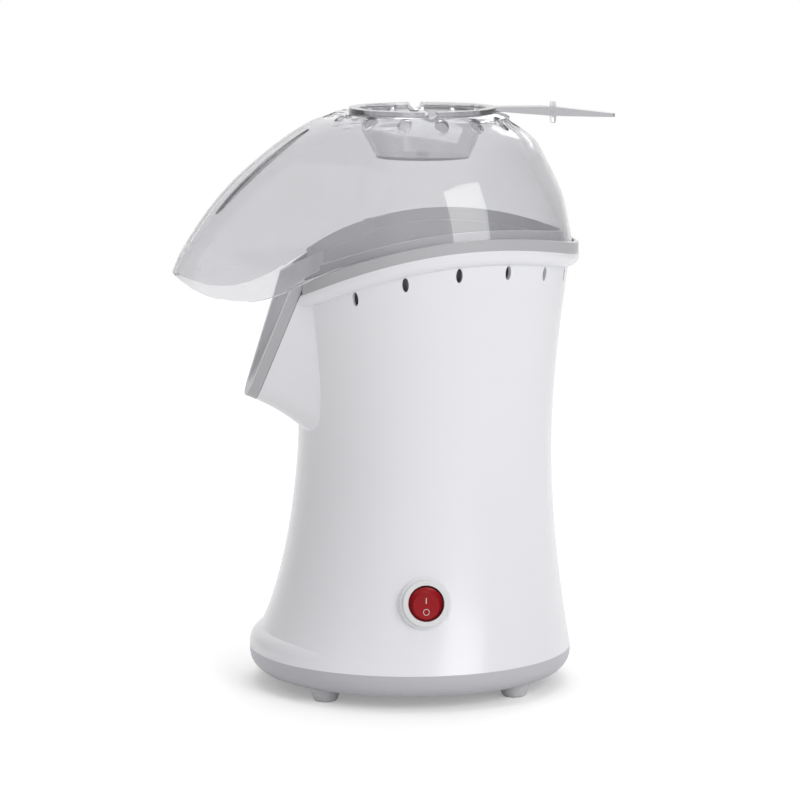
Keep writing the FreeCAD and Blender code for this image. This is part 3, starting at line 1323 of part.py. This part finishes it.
def make_safety():
    angle = "(90)"
    body = rod("thermostat_body", "cutout_radius", "cutout_depth")
    keep("thermostat", radial(body, angle, DUCT_OUTSIDE + " + fit_gap", "cutout_height"))
    tabs = []
    for index, side in enumerate(("", "-")):
        tab = slab("thermostat_tab_%d" % index, "tab_thick", "cutout_tab", "tab_width")
        x = "tower_axis + %scutout_radius / 2 - tab_thick / 2" % side
        tabs.append(place(tab, x=x, y=DUCT_OUTSIDE + " + fit_gap + cutout_depth", z="cutout_height - tab_width / 2"))
    group("thermostat_tabs", tabs)
    ring = "(%s + fuse_radius + fit_gap)" % DUCT_OUTSIDE
    fuse_body = rod("fuse_body", "fuse_radius", "fuse_length")
    keep("thermal_fuse", place(fuse_body, x="tower_axis + %s * cos(fuse_angle)" % ring,
                               y="%s * sin(fuse_angle)" % ring, z="cutout_height - fuse_length / 2"))


def make_terminal_block():
    body = slab("block_body", "block_length", "block_width", "block_height")
    place(body, x="-block_place - block_length / 2", y="block_aside - block_width / 2", z=PAN_FLOOR)
    wells = []
    screws = []
    for index in range(3):
        x = "-block_place + block_length * (%g)" % (-0.32 + 0.32 * index)
        well = rod("block_well_%d" % index, "screw_radius + fit_gap", "block_height")
        wells.append(place(well, x=x, y="block_aside", z=PAN_FLOOR + " + block_height / 2"))
        screw = rod("block_screw_%d" % index, "screw_radius", "block_height / 3")
        screws.append(place(screw, x=x, y="block_aside", z=PAN_FLOOR + " + block_height / 2"))
    keep("terminal_block", cut("block", body, wells))
    group("terminal_screws", screws)


def make_gland():
    deep = "(pad_height + casing_wall + pad_back)"
    bush = turned("gland_bush", (
        ("gland_bore", "-%s - 2 * gland_nut" % deep),
        ("gland_neck", "-%s - 2 * gland_nut" % deep),
        ("gland_neck", "0"),
        ("gland_radius", "0"),
        ("gland_radius", "gland_collar - 0.8"),
        ("gland_radius - 0.8", "gland_collar"),
        ("gland_bore + 0.8", "gland_collar"),
        ("gland_bore", "gland_collar - 0.8"),
    ))
    keep("cord_gland", in_gland(bush))
    nut = turned("gland_nut_form", (
        ("gland_neck + shaft_gap", "-%s - gland_nut - fit_gap" % deep),
        ("gland_radius", "-%s - gland_nut - fit_gap" % deep),
        ("gland_radius", "-%s - fit_gap" % deep),
        ("gland_neck + shaft_gap", "-%s - fit_gap" % deep),
    ))
    keep("gland_nut", in_gland(nut))


def make_switch():
    outside = "(well_radius + switch_wall)"
    body = turned("switch_form", (
        ("0", "-well_depth - switch_floor"),
        (outside, "-well_depth - switch_floor"),
        (outside, "0"),
        ("bezel_radius", "0"),
        ("bezel_radius", "bezel_height - bezel_round", "bezel_round", 1),
        ("bezel_radius - bezel_round", "bezel_height"),
        ("well_radius", "bezel_height"),
        ("well_radius", "-well_depth"),
        ("0", "-well_depth"),
    ))
    eyes = place(rod("switch_eyes", "pivot_radius + shaft_gap", "4 * well_radius"), x="-2 * well_radius",
                 z="-pivot_depth", turn=Rotation(Vector(0, 1, 0), 90))
    slots = []
    tabs = []
    for index in range(3):
        y = "%d * tab_step - tab_thick / 2" % (index - 1)
        slot = slab("tab_slot_%d" % index, "tab_width + fit_gap", "tab_thick + fit_gap", "3 * switch_floor")
        slots.append(place(slot, x="-(tab_width + fit_gap) / 2", y=y + " - fit_gap / 2",
                           z="-well_depth - 2.5 * switch_floor"))
        tab = slab("tab_%d" % index, "tab_width", "tab_thick", "tab_length + switch_floor")
        tabs.append(place(tab, x="-tab_width / 2", y=y, z="-well_depth - switch_floor - tab_length"))
    ledge = make_lever_stand()
    keep("switch_body", in_switch(cut("switch_cut", fuse("switch_solid", [body, ledge]), [eyes] + slots)))
    moved = [in_switch_group("switch_tab_%d" % index, tab) for index, tab in enumerate(tabs)]
    group("switch_terminals", moved)
    make_rocker()
    make_lever()


def in_switch_group(name, thing):
    """Carry one solid into the switch's place, as a group of its own."""
    holder = doc.addObject("Part::Compound", name)
    holder.Links = [thing]
    return in_switch(holder)


def make_lever_stand():
    """Two ears on the well's floor that carry the contact lever's axle."""
    ears = []
    for index, side in enumerate(("", "-")):
        ear = slab("lever_ear_%d" % index, "switch_wall", "2 * switch_wall", "well_depth - lever_depth + switch_wall")
        inner = "(lever_width / 2 + fit_gap)"
        x = inner if side == "" else "-%s - switch_wall" % inner
        ears.append(place(ear, x=x, y="-switch_wall", z="-well_depth"))
    eye = place(rod("lever_eye", "lever_thick + shaft_gap", "4 * lever_width"), x="-2 * lever_width",
                z="-lever_depth - lever_thick / 2", turn=Rotation(Vector(0, 1, 0), 90))
    return cut("lever_stand", fuse("lever_ears", ears), [eye])


def make_rocker():
    """The rocker stands at its off stop: the upper half is out and the lower half is in."""
    face = outline("rocker_side", (
        ("-rocker_radius", "pivot_depth - rocker_depth"),
        ("rocker_radius", "pivot_depth - rocker_depth"),
        ("rocker_radius", "pivot_depth + rocker_rise"),
        ("0", "pivot_depth + rocker_dip"),
        ("-rocker_radius", "pivot_depth + rocker_rise"),
    ))
    face.Placement = Placement(Vector(0, 0, 0), FRONT_VIEW)
    block = push("rocker_block", face, Vector(1, 0, 0), "4 * rocker_radius", True)
    round_form = place(rod("rocker_round", "rocker_radius", "4 * rocker_radius"), z="-2 * rocker_radius")
    pins = place(rod("rocker_pins", "pivot_radius", "2 * (well_radius + switch_wall / 2)"),
                 x="-(well_radius + switch_wall / 2)", turn=Rotation(Vector(0, 1, 0), 90))
    socket = place(rod("rocker_socket", "plunger_radius + shaft_gap", "rocker_depth"), z="-rocker_depth")
    solid = fuse("rocker_solid", [common("rocker_cap", block, round_form), pins])
    tilt = about("x", "rocker_tilt")
    keep("rocker", in_switch(cut("rocker_cut", solid, [socket]), "pivot_depth", tilt))
    tip = turned("plunger_form", (
        ("0", "pivot_depth - plunger_depth"),
        ("plunger_radius", "pivot_depth - plunger_depth + plunger_radius"),
        ("plunger_radius", "-fit_gap"),
        ("0", "-fit_gap"),
    ))
    keep("switch_plunger", in_switch(tip, "pivot_depth", tilt))


def make_lever():
    """The contact lever rocks the other way on its axle."""
    blade = place(slab("lever_blade", "lever_width", "lever_length", "lever_thick"), x="-lever_width / 2",
                  y="-lever_length / 2", z="-lever_thick / 2")
    axle = place(rod("lever_axle", "lever_thick", "lever_width + 2 * switch_wall"),
                 x="-(lever_width / 2 + switch_wall)", turn=Rotation(Vector(0, 1, 0), 90))
    lever = fuse("lever", [blade, axle])
    keep("contact_lever", in_switch(lever, "lever_depth + lever_thick / 2", about("x", "-lever_tilt")))


make_pan()
make_feet()
make_base_screws()
make_casing()
make_collar()
make_chute()
make_dome()
make_cup()
make_chamber()
make_gasket()
make_duct()
make_bracket()
make_motor()
make_fan()
make_heater()
make_safety()
make_terminal_block()
make_gland()
make_switch()
doc.recompute()

faults = []
for thing in doc.Objects:
    if "Invalid" in thing.State or "Error" in thing.State:
        faults.append("%s is %s" % (thing.Name, thing.State))
for thing in nodes:
    if thing.Shape.isNull() or not thing.Shape.isValid():
        faults.append("%s has no valid shape" % thing.Label)
if faults:
    raise RuntimeError("; ".join(faults))

os.makedirs("parts", exist_ok=True)
for thing in nodes:
    thing.Shape.exportStep("parts/%s.step" % thing.Label)
    print("%-18s solids %d volume %.1f" % (thing.Label, len(thing.Shape.Solids), thing.Shape.Volume))
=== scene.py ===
"""Looks for the hot-air popcorn maker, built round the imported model."""

import json
import math

import bmesh
import bpy
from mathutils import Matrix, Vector


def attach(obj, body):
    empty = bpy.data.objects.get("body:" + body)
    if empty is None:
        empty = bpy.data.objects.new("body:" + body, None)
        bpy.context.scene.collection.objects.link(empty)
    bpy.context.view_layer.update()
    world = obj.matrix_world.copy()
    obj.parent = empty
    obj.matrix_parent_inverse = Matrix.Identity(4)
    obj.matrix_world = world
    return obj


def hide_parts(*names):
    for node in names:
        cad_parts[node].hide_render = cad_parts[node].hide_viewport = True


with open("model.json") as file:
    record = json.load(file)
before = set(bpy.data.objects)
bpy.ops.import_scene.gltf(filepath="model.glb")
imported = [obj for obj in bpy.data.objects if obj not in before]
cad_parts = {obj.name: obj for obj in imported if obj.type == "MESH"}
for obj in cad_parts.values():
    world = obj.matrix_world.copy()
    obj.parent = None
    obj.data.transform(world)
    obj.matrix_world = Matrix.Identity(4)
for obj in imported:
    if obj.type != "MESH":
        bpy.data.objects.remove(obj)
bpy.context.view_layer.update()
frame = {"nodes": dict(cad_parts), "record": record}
nodes = frame["nodes"]

# Camera, as fitted to the photograph: metres and degrees, and millimetres for lens and sensor
CAMERA_PLACE = (-0.2096, -1.9465, 0.4441)
CAMERA_PITCH = 8.616
CAMERA_AZIMUTH = -6.147
CAMERA_LENS = 171.04
CAMERA_SENSOR = 36
CAMERA_SHIFT = -0.0125
CAMERA_REACH = 60


def make_camera():
    data = bpy.data.cameras.new("camera")
    data.lens = CAMERA_LENS
    data.sensor_width = CAMERA_SENSOR
    data.shift_x = CAMERA_SHIFT
    data.clip_end = CAMERA_REACH
    camera = bpy.data.objects.new("camera", data)
    camera.location = CAMERA_PLACE
    tilt = math.radians(90 - CAMERA_PITCH)
    camera.rotation_euler = (tilt, 0, math.radians(CAMERA_AZIMUTH))
    bpy.context.scene.collection.objects.link(camera)
    bpy.context.scene.camera = camera


# Noises: scale per metre and levels of detail
DRIFT_NOISE = (14.0, 2.0)
GLOSS_NOISE = (60.0, 4.0)
SPECK_NOISE = (500.0, 4.0)
PORE_NOISE = (1500.0, 3.0)
HAZE_NOISE = (35.0, 3.0)
GRAIN_DETAIL = 2.0
STREAK_DETAIL = 5.0
NOISE_LOW, NOISE_HIGH = 0.3, 0.7

# Bumps: height in metres and strength
STREAK_BUMP = (0.00003, 0.2)
PORE_BUMP = (0.00006, 0.4)
GRAIN_STRENGTH = 0.25

# Lowest and highest roughness, as shares of a finish's own
PLASTIC_GLOSS = (0.96, 1.05)
METAL_GLOSS = (0.7, 1.3)
RUBBER_GLOSS = (0.9, 1.1)
CLEAR_GLOSS = (0.6, 1.5)

# The darker of two tones, as a share of the lighter
METAL_SHADE = 0.82
RUBBER_SHADE = 0.85

PLASTIC_IOR = 1.5
CLEAR_IOR = 1.46
COAT_ROUGHNESS = 0.06
SMOKE_COLOUR = (0.0, 0.0, 0.05, 1)
WHITE = (1, 1, 1, 1)


def add_node(tree, kind, **values):
    """Add a shader node and set its attributes."""
    node = tree.nodes.new(kind)
    for name, value in values.items():
        setattr(node, name, value)
    return node


def set_inputs(node, values):
    """Set a node's inputs, by name, to plain values."""
    for name, value in values.items():
        node.inputs[name].default_value = value


def new_material(name):
    material = bpy.data.materials.new(name)
    material.use_nodes = True
    tree = material.node_tree
    tree.nodes.clear()
    output = add_node(tree, "ShaderNodeOutputMaterial")
    shader = add_node(tree, "ShaderNodeBsdfPrincipled")
    tree.links.new(shader.outputs["BSDF"], output.inputs["Surface"])
    return material, tree, shader, output


def noise(tree, scale, detail, stretch=(1, 1, 1)):
    """A noise texture in the object's own space, in metres."""
    place = add_node(tree, "ShaderNodeTexCoord")
    mapping = add_node(tree, "ShaderNodeMapping")
    set_inputs(mapping, {"Scale": stretch})
    texture = add_node(tree, "ShaderNodeTexNoise")
    set_inputs(texture, {"Scale": scale, "Detail": detail})
    tree.links.new(place.outputs["Object"], mapping.inputs["Vector"])
    tree.links.new(mapping.outputs["Vector"], texture.inputs["Vector"])
    return texture.outputs["Fac"]


def ramp(tree, source, low, high, start=NOISE_LOW, end=NOISE_HIGH):
    """Spread a value, such as a noise, between two limits."""
    node = add_node(tree, "ShaderNodeMapRange")
    set_inputs(node, {"From Min": start, "From Max": end, "To Min": low, "To Max": high})
    tree.links.new(source, node.inputs["Value"])
    return node.outputs["Result"]


def tint(tree, source, first, second):
    """Blend two colours by a value."""
    node = add_node(tree, "ShaderNodeMix", data_type="RGBA")
    colours = [socket for socket in node.inputs if socket.type == "RGBA"]
    colours[0].default_value = (*first, 1)
    colours[1].default_value = (*second, 1)
    tree.links.new(source, node.inputs["Factor"])
    return [socket for socket in node.outputs if socket.type == "RGBA"][0]


def combine(tree, operation, *sources):
    """Fold several values into one, by an operation on two."""
    result = sources[0]
    for source in sources[1:]:
        node = add_node(tree, "ShaderNodeMath", operation=operation)
        tree.links.new(result, node.inputs[0])
        tree.links.new(source, node.inputs[1])
        result = node.outputs[0]
    return result


def mix_shaders(tree, share, first, second):
    """Mix two shaders by a value, the share of the second."""
    node = add_node(tree, "ShaderNodeMixShader")
    tree.links.new(share, node.inputs["Fac"])
    tree.links.new(first, node.inputs[1])
    tree.links.new(second, node.inputs[2])
    return node.outputs["Shader"]


def two_tone(tree, shader, source, colour, darker):
    """Let a noise carry the colour between two tones."""
    shade = ramp(tree, source, 0, 1)
    tree.links.new(tint(tree, shade, colour, darker), shader.inputs["Base Color"])


def uneven_gloss(tree, shader, source, rough, shares):
    """Let a noise carry the roughness between two shares of its own value."""
    low, high = (min(rough * share, 1) for share in shares)
    tree.links.new(ramp(tree, source, low, high), shader.inputs["Roughness"])


def bump(tree, shader, source, height, strength):
    node = add_node(tree, "ShaderNodeBump")
    set_inputs(node, {"Distance": height, "Strength": strength})
    tree.links.new(source, node.inputs["Height"])
    tree.links.new(node.outputs["Normal"], shader.inputs["Normal"])


def plastic(name, colour, rough, grain=900.0, depth=0.00004, coat=0.0, drift=0.02, shine=0.5):
    """Moulded plastic: a slow drift of shade, a fine moulded grain and uneven gloss."""
    material, tree, shader, _ = new_material(name)
    darker = tuple(max(part - drift, 0) for part in colour)
    two_tone(tree, shader, noise(tree, *DRIFT_NOISE), colour, darker)
    uneven_gloss(tree, shader, noise(tree, *GLOSS_NOISE), rough, PLASTIC_GLOSS)
    bump(tree, shader, noise(tree, grain, GRAIN_DETAIL), depth, GRAIN_STRENGTH)
    set_inputs(shader, {"IOR": PLASTIC_IOR, "Specular IOR Level": shine,
                        "Coat Weight": coat, "Coat Roughness": COAT_ROUGHNESS})
    return material


def metal(name, colour, rough, scale=60.0, stretch=(1, 1, 40)):
    """Drawn or brushed metal, with streaks along one direction."""
    material, tree, shader, _ = new_material(name)
    streak = noise(tree, scale, STREAK_DETAIL, stretch)
    darker = tuple(part * METAL_SHADE for part in colour)
    two_tone(tree, shader, streak, colour, darker)
    uneven_gloss(tree, shader, streak, rough, METAL_GLOSS)
    bump(tree, shader, streak, *STREAK_BUMP)
    set_inputs(shader, {"Metallic": 1.0})
    return material


def rubber(name, colour, rough):
    """Dull rubber, specked and finely pored."""
    material, tree, shader, _ = new_material(name)
    speck = noise(tree, *SPECK_NOISE)
    darker = tuple(part * RUBBER_SHADE for part in colour)
    two_tone(tree, shader, speck, colour, darker)
    uneven_gloss(tree, shader, speck, rough, RUBBER_GLOSS)
    bump(tree, shader, noise(tree, *PORE_NOISE), *PORE_BUMP)
    return material


def clear(name, colour, rough, shadow, clarity, density):
    """Smoky clear plastic: a little milky, it bends what is seen through it and lets lamp
    light pass."""
    material, tree, shader, output = new_material(name)
    set_inputs(shader, {"Base Color": (*colour, 1), "Transmission Weight": clarity,
                        "IOR": CLEAR_IOR})
    uneven_gloss(tree, shader, noise(tree, *HAZE_NOISE), rough, CLEAR_GLOSS)
    path = add_node(tree, "ShaderNodeLightPath")
    through = add_node(tree, "ShaderNodeBsdfTransparent")
    set_inputs(through, {"Color": (shadow, shadow, shadow, 1)})
    surface = mix_shaders(tree, path.outputs["Is Shadow Ray"],
                          shader.outputs["BSDF"], through.outputs["BSDF"])
    tree.links.new(surface, output.inputs["Surface"])
    smoke = add_node(tree, "ShaderNodeVolumeAbsorption")
    set_inputs(smoke, {"Color": SMOKE_COLOUR, "Density": density})
    tree.links.new(smoke.outputs["Volume"], output.inputs["Volume"])
    return material


# Each material slot: its kind, colour and roughness, and what else that kind takes
FINISHES = {
    "casing_white": (plastic, (0.80, 0.80, 0.83), 0.25,
                     {"grain": 140.0, "depth": 0.00002, "coat": 0.12, "drift": 0.008}),
    "pan_grey": (plastic, (0.50, 0.50, 0.53), 0.32, {"drift": 0.015}),
    "trim_grey": (plastic, (0.46, 0.46, 0.48), 0.32, {"drift": 0.012}),
    "dome_clear": (clear, (0.85, 0.85, 0.865), 0.02,
                   {"shadow": 0.86, "clarity": 0.90, "density": 18.0}),
    "cup_clear": (clear, (0.91, 0.91, 0.92), 0.02,
                  {"shadow": 0.88, "clarity": 0.92, "density": 60.0}),
    "foot_rubber": (rubber, (0.60, 0.60, 0.61), 0.6, {}),
    "switch_shell": (plastic, (0.71, 0.71, 0.72), 0.25, {}),
    "rocker_red": (plastic, (0.29, 0.006, 0.010), 0.30, {"drift": 0.004, "shine": 0.22}),
    "inner_plastic": (plastic, (0.03, 0.03, 0.033), 0.45, {"drift": 0.01}),
    "copper_brass": (metal, (0.72, 0.50, 0.20), 0.3, {}),
    "fastener_steel": (metal, (0.55, 0.55, 0.57), 0.32, {}),
    "chamber_aluminium": (metal, (0.70, 0.70, 0.71), 0.42,
                          {"scale": 300.0, "stretch": (1, 1, 0.05)}),
    "gasket_rubber": (rubber, (0.62, 0.60, 0.55), 0.7, {}),
    "duct_steel": (metal, (0.60, 0.60, 0.62), 0.36, {}),
    "mica": (plastic, (0.42, 0.34, 0.24), 0.4, {"grain": 300.0, "depth": 0.0001, "drift": 0.08}),
    "coil_wire": (metal, (0.25, 0.23, 0.22), 0.5, {}),
    "motor_steel": (metal, (0.52, 0.52, 0.54), 0.3, {}),
    "magnet": (plastic, (0.035, 0.035, 0.038), 0.6, {}),
    "fan_plastic": (plastic, (0.04, 0.04, 0.043), 0.4, {"drift": 0.01}),
    "board": (plastic, (0.14, 0.20, 0.06), 0.45, {"drift": 0.03}),
    "block_plastic": (plastic, (0.70, 0.68, 0.62), 0.4, {}),
    "gland_grey": (plastic, (0.32, 0.32, 0.34), 0.4, {}),
}
MATERIALS = {name: make(name, colour, rough, **others)
             for name, (make, colour, rough, others) in FINISHES.items()}


def dress_nodes():
    """Give every carried-over node its material."""
    slots = {part["node"]: part["material_slot"] for part in frame["record"]["subparts"]}
    for name, node in nodes.items():
        node.data.materials.clear()
        node.data.materials.append(MATERIALS[slots[name]])


SMOOTH_ANGLE = math.radians(32)
WELD_GAP = 0.000005


def even_shading(name):
    """Even out the shading of a carried-over shell where its faces meet at a small angle."""
    node = nodes[name]
    weld = node.modifiers.new("weld", "WELD")
    weld.merge_threshold = WELD_GAP
    split = node.modifiers.new("split", "EDGE_SPLIT")
    split.split_angle = SMOOTH_ANGLE
    split.use_edge_sharp = False
    node.modifiers.new("weighted", "WEIGHTED_NORMAL")


# The switch's own frame: millimetres, x to the right, y up the casing and z out of it
MM = 0.001
SWITCH_PLACE = Vector((0, -75.548, 54.774)) * MM
SWITCH_TILT = math.radians(11.3)
PIVOT_DEPTH = 1.5

# The rocker, from its pivot: a round side, a tapered wall and a dished face set a little low
ROCKER_TILT = math.radians(8)
ROCKER_RADIUS = 8.7
ROCKER_MIDDLE = 3.1
ROCKER_DISH = 1.5
ROCKER_FOOT = -1.0
WALL_DROP = 1.9
SHOULDER_INSET, SHOULDER_RISE = 0.25, 0.2
FACE_RADIUS = 7.0
FACE_DROP = 0.6
FACE_EDGE = 0.5
FACE_SHARES = (0.97, 0.85, 0.68, 0.5, 0.32, 0.16, 0.05)
EDGE_STEPS = 5

# The marks let into the rocker's face
MARK_PROUD = 0.05
MARK_SUNK = 0.3
BAR_MIDDLE, BAR_LENGTH, BAR_WIDTH = 1.8, 3.0, 0.38
BEVEL_RISE, BEVEL_SHARE = 0.6, 0.8
RING_MIDDLE, RING_RADIUS, RING_WIDTH = -3.9, 1.6, 0.25

ROUND_STEPS = 96
ROUND_ANGLES = [2 * math.pi * step / ROUND_STEPS for step in range(ROUND_STEPS)]
CIRCLE = [(math.cos(angle), math.sin(angle)) for angle in ROUND_ANGLES]


def in_rocker(x, y, z):
    """A point of the rocker, given from its pivot in millimetres, in the part's frame."""
    tilted = Vector((x, y * math.cos(ROCKER_TILT) - z * math.sin(ROCKER_TILT),
                     y * math.sin(ROCKER_TILT) + z * math.cos(ROCKER_TILT) - PIVOT_DEPTH)) * MM
    up = Vector((0, math.sin(SWITCH_TILT), math.cos(SWITCH_TILT)))
    out = Vector((0, -math.cos(SWITCH_TILT), math.sin(SWITCH_TILT)))
    return SWITCH_PLACE + Vector((tilted.x, 0, 0)) + up * tilted.y + out * tilted.z


def on_face(x, y, rise):
    """A point over the rocker's dished face, given in millimetres, in the part's frame."""
    face = ROCKER_MIDDLE + ROCKER_DISH * (y / ROCKER_RADIUS) ** 2
    return in_rocker(x, y, face + rise)


def new_piece(name, mesh_maker, material, body, smooth=True):
    """Make a piece from a bmesh, dress it and let it ride on a body."""
    form = bmesh.new()
    mesh_maker(form)
    bmesh.ops.recalc_face_normals(form, faces=form.faces)
    mesh = bpy.data.meshes.new(name)
    form.to_mesh(mesh)
    form.free()
    if smooth:
        mesh.shade_smooth()
    piece = bpy.data.objects.new(name, mesh)
    bpy.context.scene.collection.objects.link(piece)
    mesh.materials.append(MATERIALS[material])
    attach(piece, body)
    return piece


def add_loops(form, rings):
    """Add the vertices of closed rings of points."""
    return [[form.verts.new(point) for point in ring] for ring in rings]


def join_loops(form, first, second):
    """Join two closed loops of vertices with quads."""
    count = len(first)
    for step in range(count):
        following = (step + 1) % count
        form.faces.new((first[step], first[following], second[following], second[step]))


def loft_rings(form, rings):
    """Join closed rings of points with quads and close both ends."""
    loops = add_loops(form, rings)
    for first, second in zip(loops, loops[1:]):
        join_loops(form, first, second)
    form.faces.new(loops[0])
    form.faces.new(loops[-1])


def rocker_cap(form):
    """From the rocker's foot, up its side, in along the tapered wall and over the face."""
    shoulder = [(ROCKER_RADIUS, 0.0, -WALL_DROP),
                (ROCKER_RADIUS - SHOULDER_INSET, 0.0, -WALL_DROP + SHOULDER_RISE)]
    inner = FACE_RADIUS - FACE_EDGE
    quarter = [math.radians(90 * step / EDGE_STEPS) for step in range(EDGE_STEPS + 1)]
    edge = [(inner + FACE_EDGE * math.cos(angle), -FACE_DROP, -FACE_EDGE * (1 - math.sin(angle)))
            for angle in quarter]
    face = [(inner * share, -FACE_DROP, 0.0) for share in FACE_SHARES]
    rings = [[in_rocker(ROCKER_RADIUS * x, ROCKER_RADIUS * y, ROCKER_FOOT) for x, y in CIRCLE]]
    for radius, shift, rise in shoulder + edge + face:
        rings.append([on_face(radius * x, radius * y + shift, rise) for x, y in CIRCLE])
    loft_rings(form, rings)


def off_mark(form):
    """A flat ring."""
    inside = RING_RADIUS - RING_WIDTH
    rings = []
    for radius, rise in ((RING_RADIUS, -MARK_SUNK), (RING_RADIUS, MARK_PROUD),
                         (inside, MARK_PROUD), (inside, -MARK_SUNK)):
        rings.append([on_face(radius * x, RING_MIDDLE + radius * y, rise) for x, y in CIRCLE])
    loops = add_loops(form, rings)
    for first, second in zip(loops, loops[1:] + loops[:1]):
        join_loops(form, first, second)


def on_mark(form):
    """An upright bar with round ends and a bevelled top."""
    end = BAR_LENGTH / 2 - BAR_WIDTH / 2
    rings = []
    for rise, share in ((-MARK_SUNK, 1.0), (MARK_PROUD * BEVEL_RISE, 1.0),
                        (MARK_PROUD, BEVEL_SHARE)):
        ring = []
        for along, across in CIRCLE:
            x = along * share * BAR_WIDTH / 2
            y = BAR_MIDDLE + math.copysign(end, across) + across * share * BAR_WIDTH / 2
            ring.append(on_face(x, y, rise))
        rings.append(ring)
    loft_rings(form, rings)


def make_rocker():
    cap = new_piece("rocker_cap", rocker_cap, "rocker_red", "rocker")
    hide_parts("rocker")
    new_piece("rocker_mark_on", on_mark, "switch_shell", "rocker", smooth=False)
    new_piece("rocker_mark_off", off_mark, "switch_shell", "rocker", smooth=False)


# Floor and surround, in metres; the flags are set by the sideways part of a direction
FLOOR_REACH = 14.0
FLOOR_COLOUR = (0.86, 0.86, 0.86, 1)
FLOOR_ROUGHNESS, FLOOR_SHINE = 0.9, 0.1
FLOOR_LIFT = 0.26
NEAR_EDGE, FAR_EDGE = 0.7, 1.7
FLAG_START, FLAG_END, FLAG_SHADE = 0.42, 0.80, 0.28
AMBIENT = 0.46

# Soft lamps: place, width and height in metres, and power in watts
LAMP_TARGET = Vector((0, 0, 0.15))
LAMPS = {
    "key": ((1.15, -1.9, 1.2), (1.3, 1.7), 25),
    "fill": ((-1.8, -1.0, 1.3), (1.0, 1.6), 2.5),
    "top": ((0.0, 0.3, 2.2), (1.6, 1.6), 16),
    "back": ((0.6, 1.9, 1.3), (1.6, 1.0), 10),
}


def soft_lamp(name, place, size, power):
    data = bpy.data.lights.new(name, "AREA")
    data.shape = "RECTANGLE"
    data.size, data.size_y = size
    data.energy = power
    lamp = bpy.data.objects.new(name, data)
    lamp.location = place
    lamp.rotation_euler = (LAMP_TARGET - Vector(place)).to_track_quat("-Z", "Y").to_euler()
    bpy.context.scene.collection.objects.link(lamp)


def seen_background(tree, direction):
    """Whether a ray sees the white surround, and how white it is: wholly white from the camera,
    and in gloss and clear plastic less so towards the two sides, where studio flags stand."""
    path = add_node(tree, "ShaderNodeLightPath")
    camera = path.outputs["Is Camera Ray"]
    split = add_node(tree, "ShaderNodeSeparateXYZ")
    tree.links.new(direction, split.inputs["Vector"])
    aside = add_node(tree, "ShaderNodeMath", operation="ABSOLUTE")
    tree.links.new(split.outputs["X"], aside.inputs[0])
    flags = ramp(tree, aside.outputs[0], 1.0, FLAG_SHADE, FLAG_START, FLAG_END)
    seen = combine(tree, "MAXIMUM", camera, path.outputs["Is Glossy Ray"],
                   path.outputs["Is Transmission Ray"])
    return seen, combine(tree, "MAXIMUM", camera, flags)


def floor_material():
    """Pale and shadowed near the object, with a faint glow, and plain white far from it."""
    material, tree, shader, output = new_material("floor_pale")
    set_inputs(shader, {"Base Color": FLOOR_COLOUR, "Roughness": FLOOR_ROUGHNESS,
                        "Specular IOR Level": FLOOR_SHINE})
    place = add_node(tree, "ShaderNodeTexCoord").outputs["Object"]
    away = add_node(tree, "ShaderNodeVectorMath", operation="LENGTH")
    tree.links.new(place, away.inputs[0])
    heading = add_node(tree, "ShaderNodeVectorMath", operation="NORMALIZE")
    tree.links.new(place, heading.inputs[0])
    seen, white = seen_background(tree, heading.outputs["Vector"])
    lift = add_node(tree, "ShaderNodeMath", operation="MULTIPLY")
    tree.links.new(combine(tree, "MULTIPLY", seen, white), lift.inputs[0])
    lift.inputs[1].default_value = FLOOR_LIFT
    glow = add_node(tree, "ShaderNodeEmission")
    tree.links.new(lift.outputs[0], glow.inputs["Strength"])
    near = add_node(tree, "ShaderNodeAddShader")
    tree.links.new(shader.outputs["BSDF"], near.inputs[0])
    tree.links.new(glow.outputs["Emission"], near.inputs[1])
    far = add_node(tree, "ShaderNodeEmission")
    tree.links.new(white, far.inputs["Strength"])
    distance = ramp(tree, away.outputs["Value"], 0.0, 1.0, NEAR_EDGE, FAR_EDGE)
    surface = mix_shaders(tree, combine(tree, "MULTIPLY", distance, seen),
                          near.outputs["Shader"], far.outputs["Emission"])
    tree.links.new(surface, output.inputs["Surface"])
    return material


def make_floor():
    mesh = bpy.data.meshes.new("floor")
    reach = FLOOR_REACH
    corners = [(-reach, -reach, 0), (reach, -reach, 0), (reach, reach, 0), (-reach, reach, 0)]
    mesh.from_pydata(corners, [], [(0, 1, 2, 3)])
    floor = bpy.data.objects.new("floor", mesh)
    bpy.context.scene.collection.objects.link(floor)
    mesh.materials.append(floor_material())


def make_surround():
    """White where it is seen, flagged to the two sides in gloss, dim as a lamp."""
    world = bpy.data.worlds.new("surround")
    bpy.context.scene.world = world
    world.use_nodes = True
    tree = world.node_tree
    tree.nodes.clear()
    output = add_node(tree, "ShaderNodeOutputWorld")
    plain = add_node(tree, "ShaderNodeBackground")
    set_inputs(plain, {"Color": WHITE, "Strength": AMBIENT})
    bright = add_node(tree, "ShaderNodeBackground")
    set_inputs(bright, {"Color": WHITE})
    heading = add_node(tree, "ShaderNodeTexCoord").outputs["Generated"]
    seen, white = seen_background(tree, heading)
    tree.links.new(white, bright.inputs["Strength"])
    surface = mix_shaders(tree, seen, plain.outputs["Background"], bright.outputs["Background"])
    tree.links.new(surface, output.inputs["Surface"])


def make_stage():
    """A plain pale floor, a white surround and soft lamps."""
    make_floor()
    make_surround()
    for name, (place, size, power) in LAMPS.items():
        soft_lamp(name, place, size, power)


make_camera()
make_stage()
dress_nodes()
for shell in ("collar", "chute"):
    even_shading(shell)
make_rocker()

bpy.context.scene.view_settings.view_transform = "Standard"
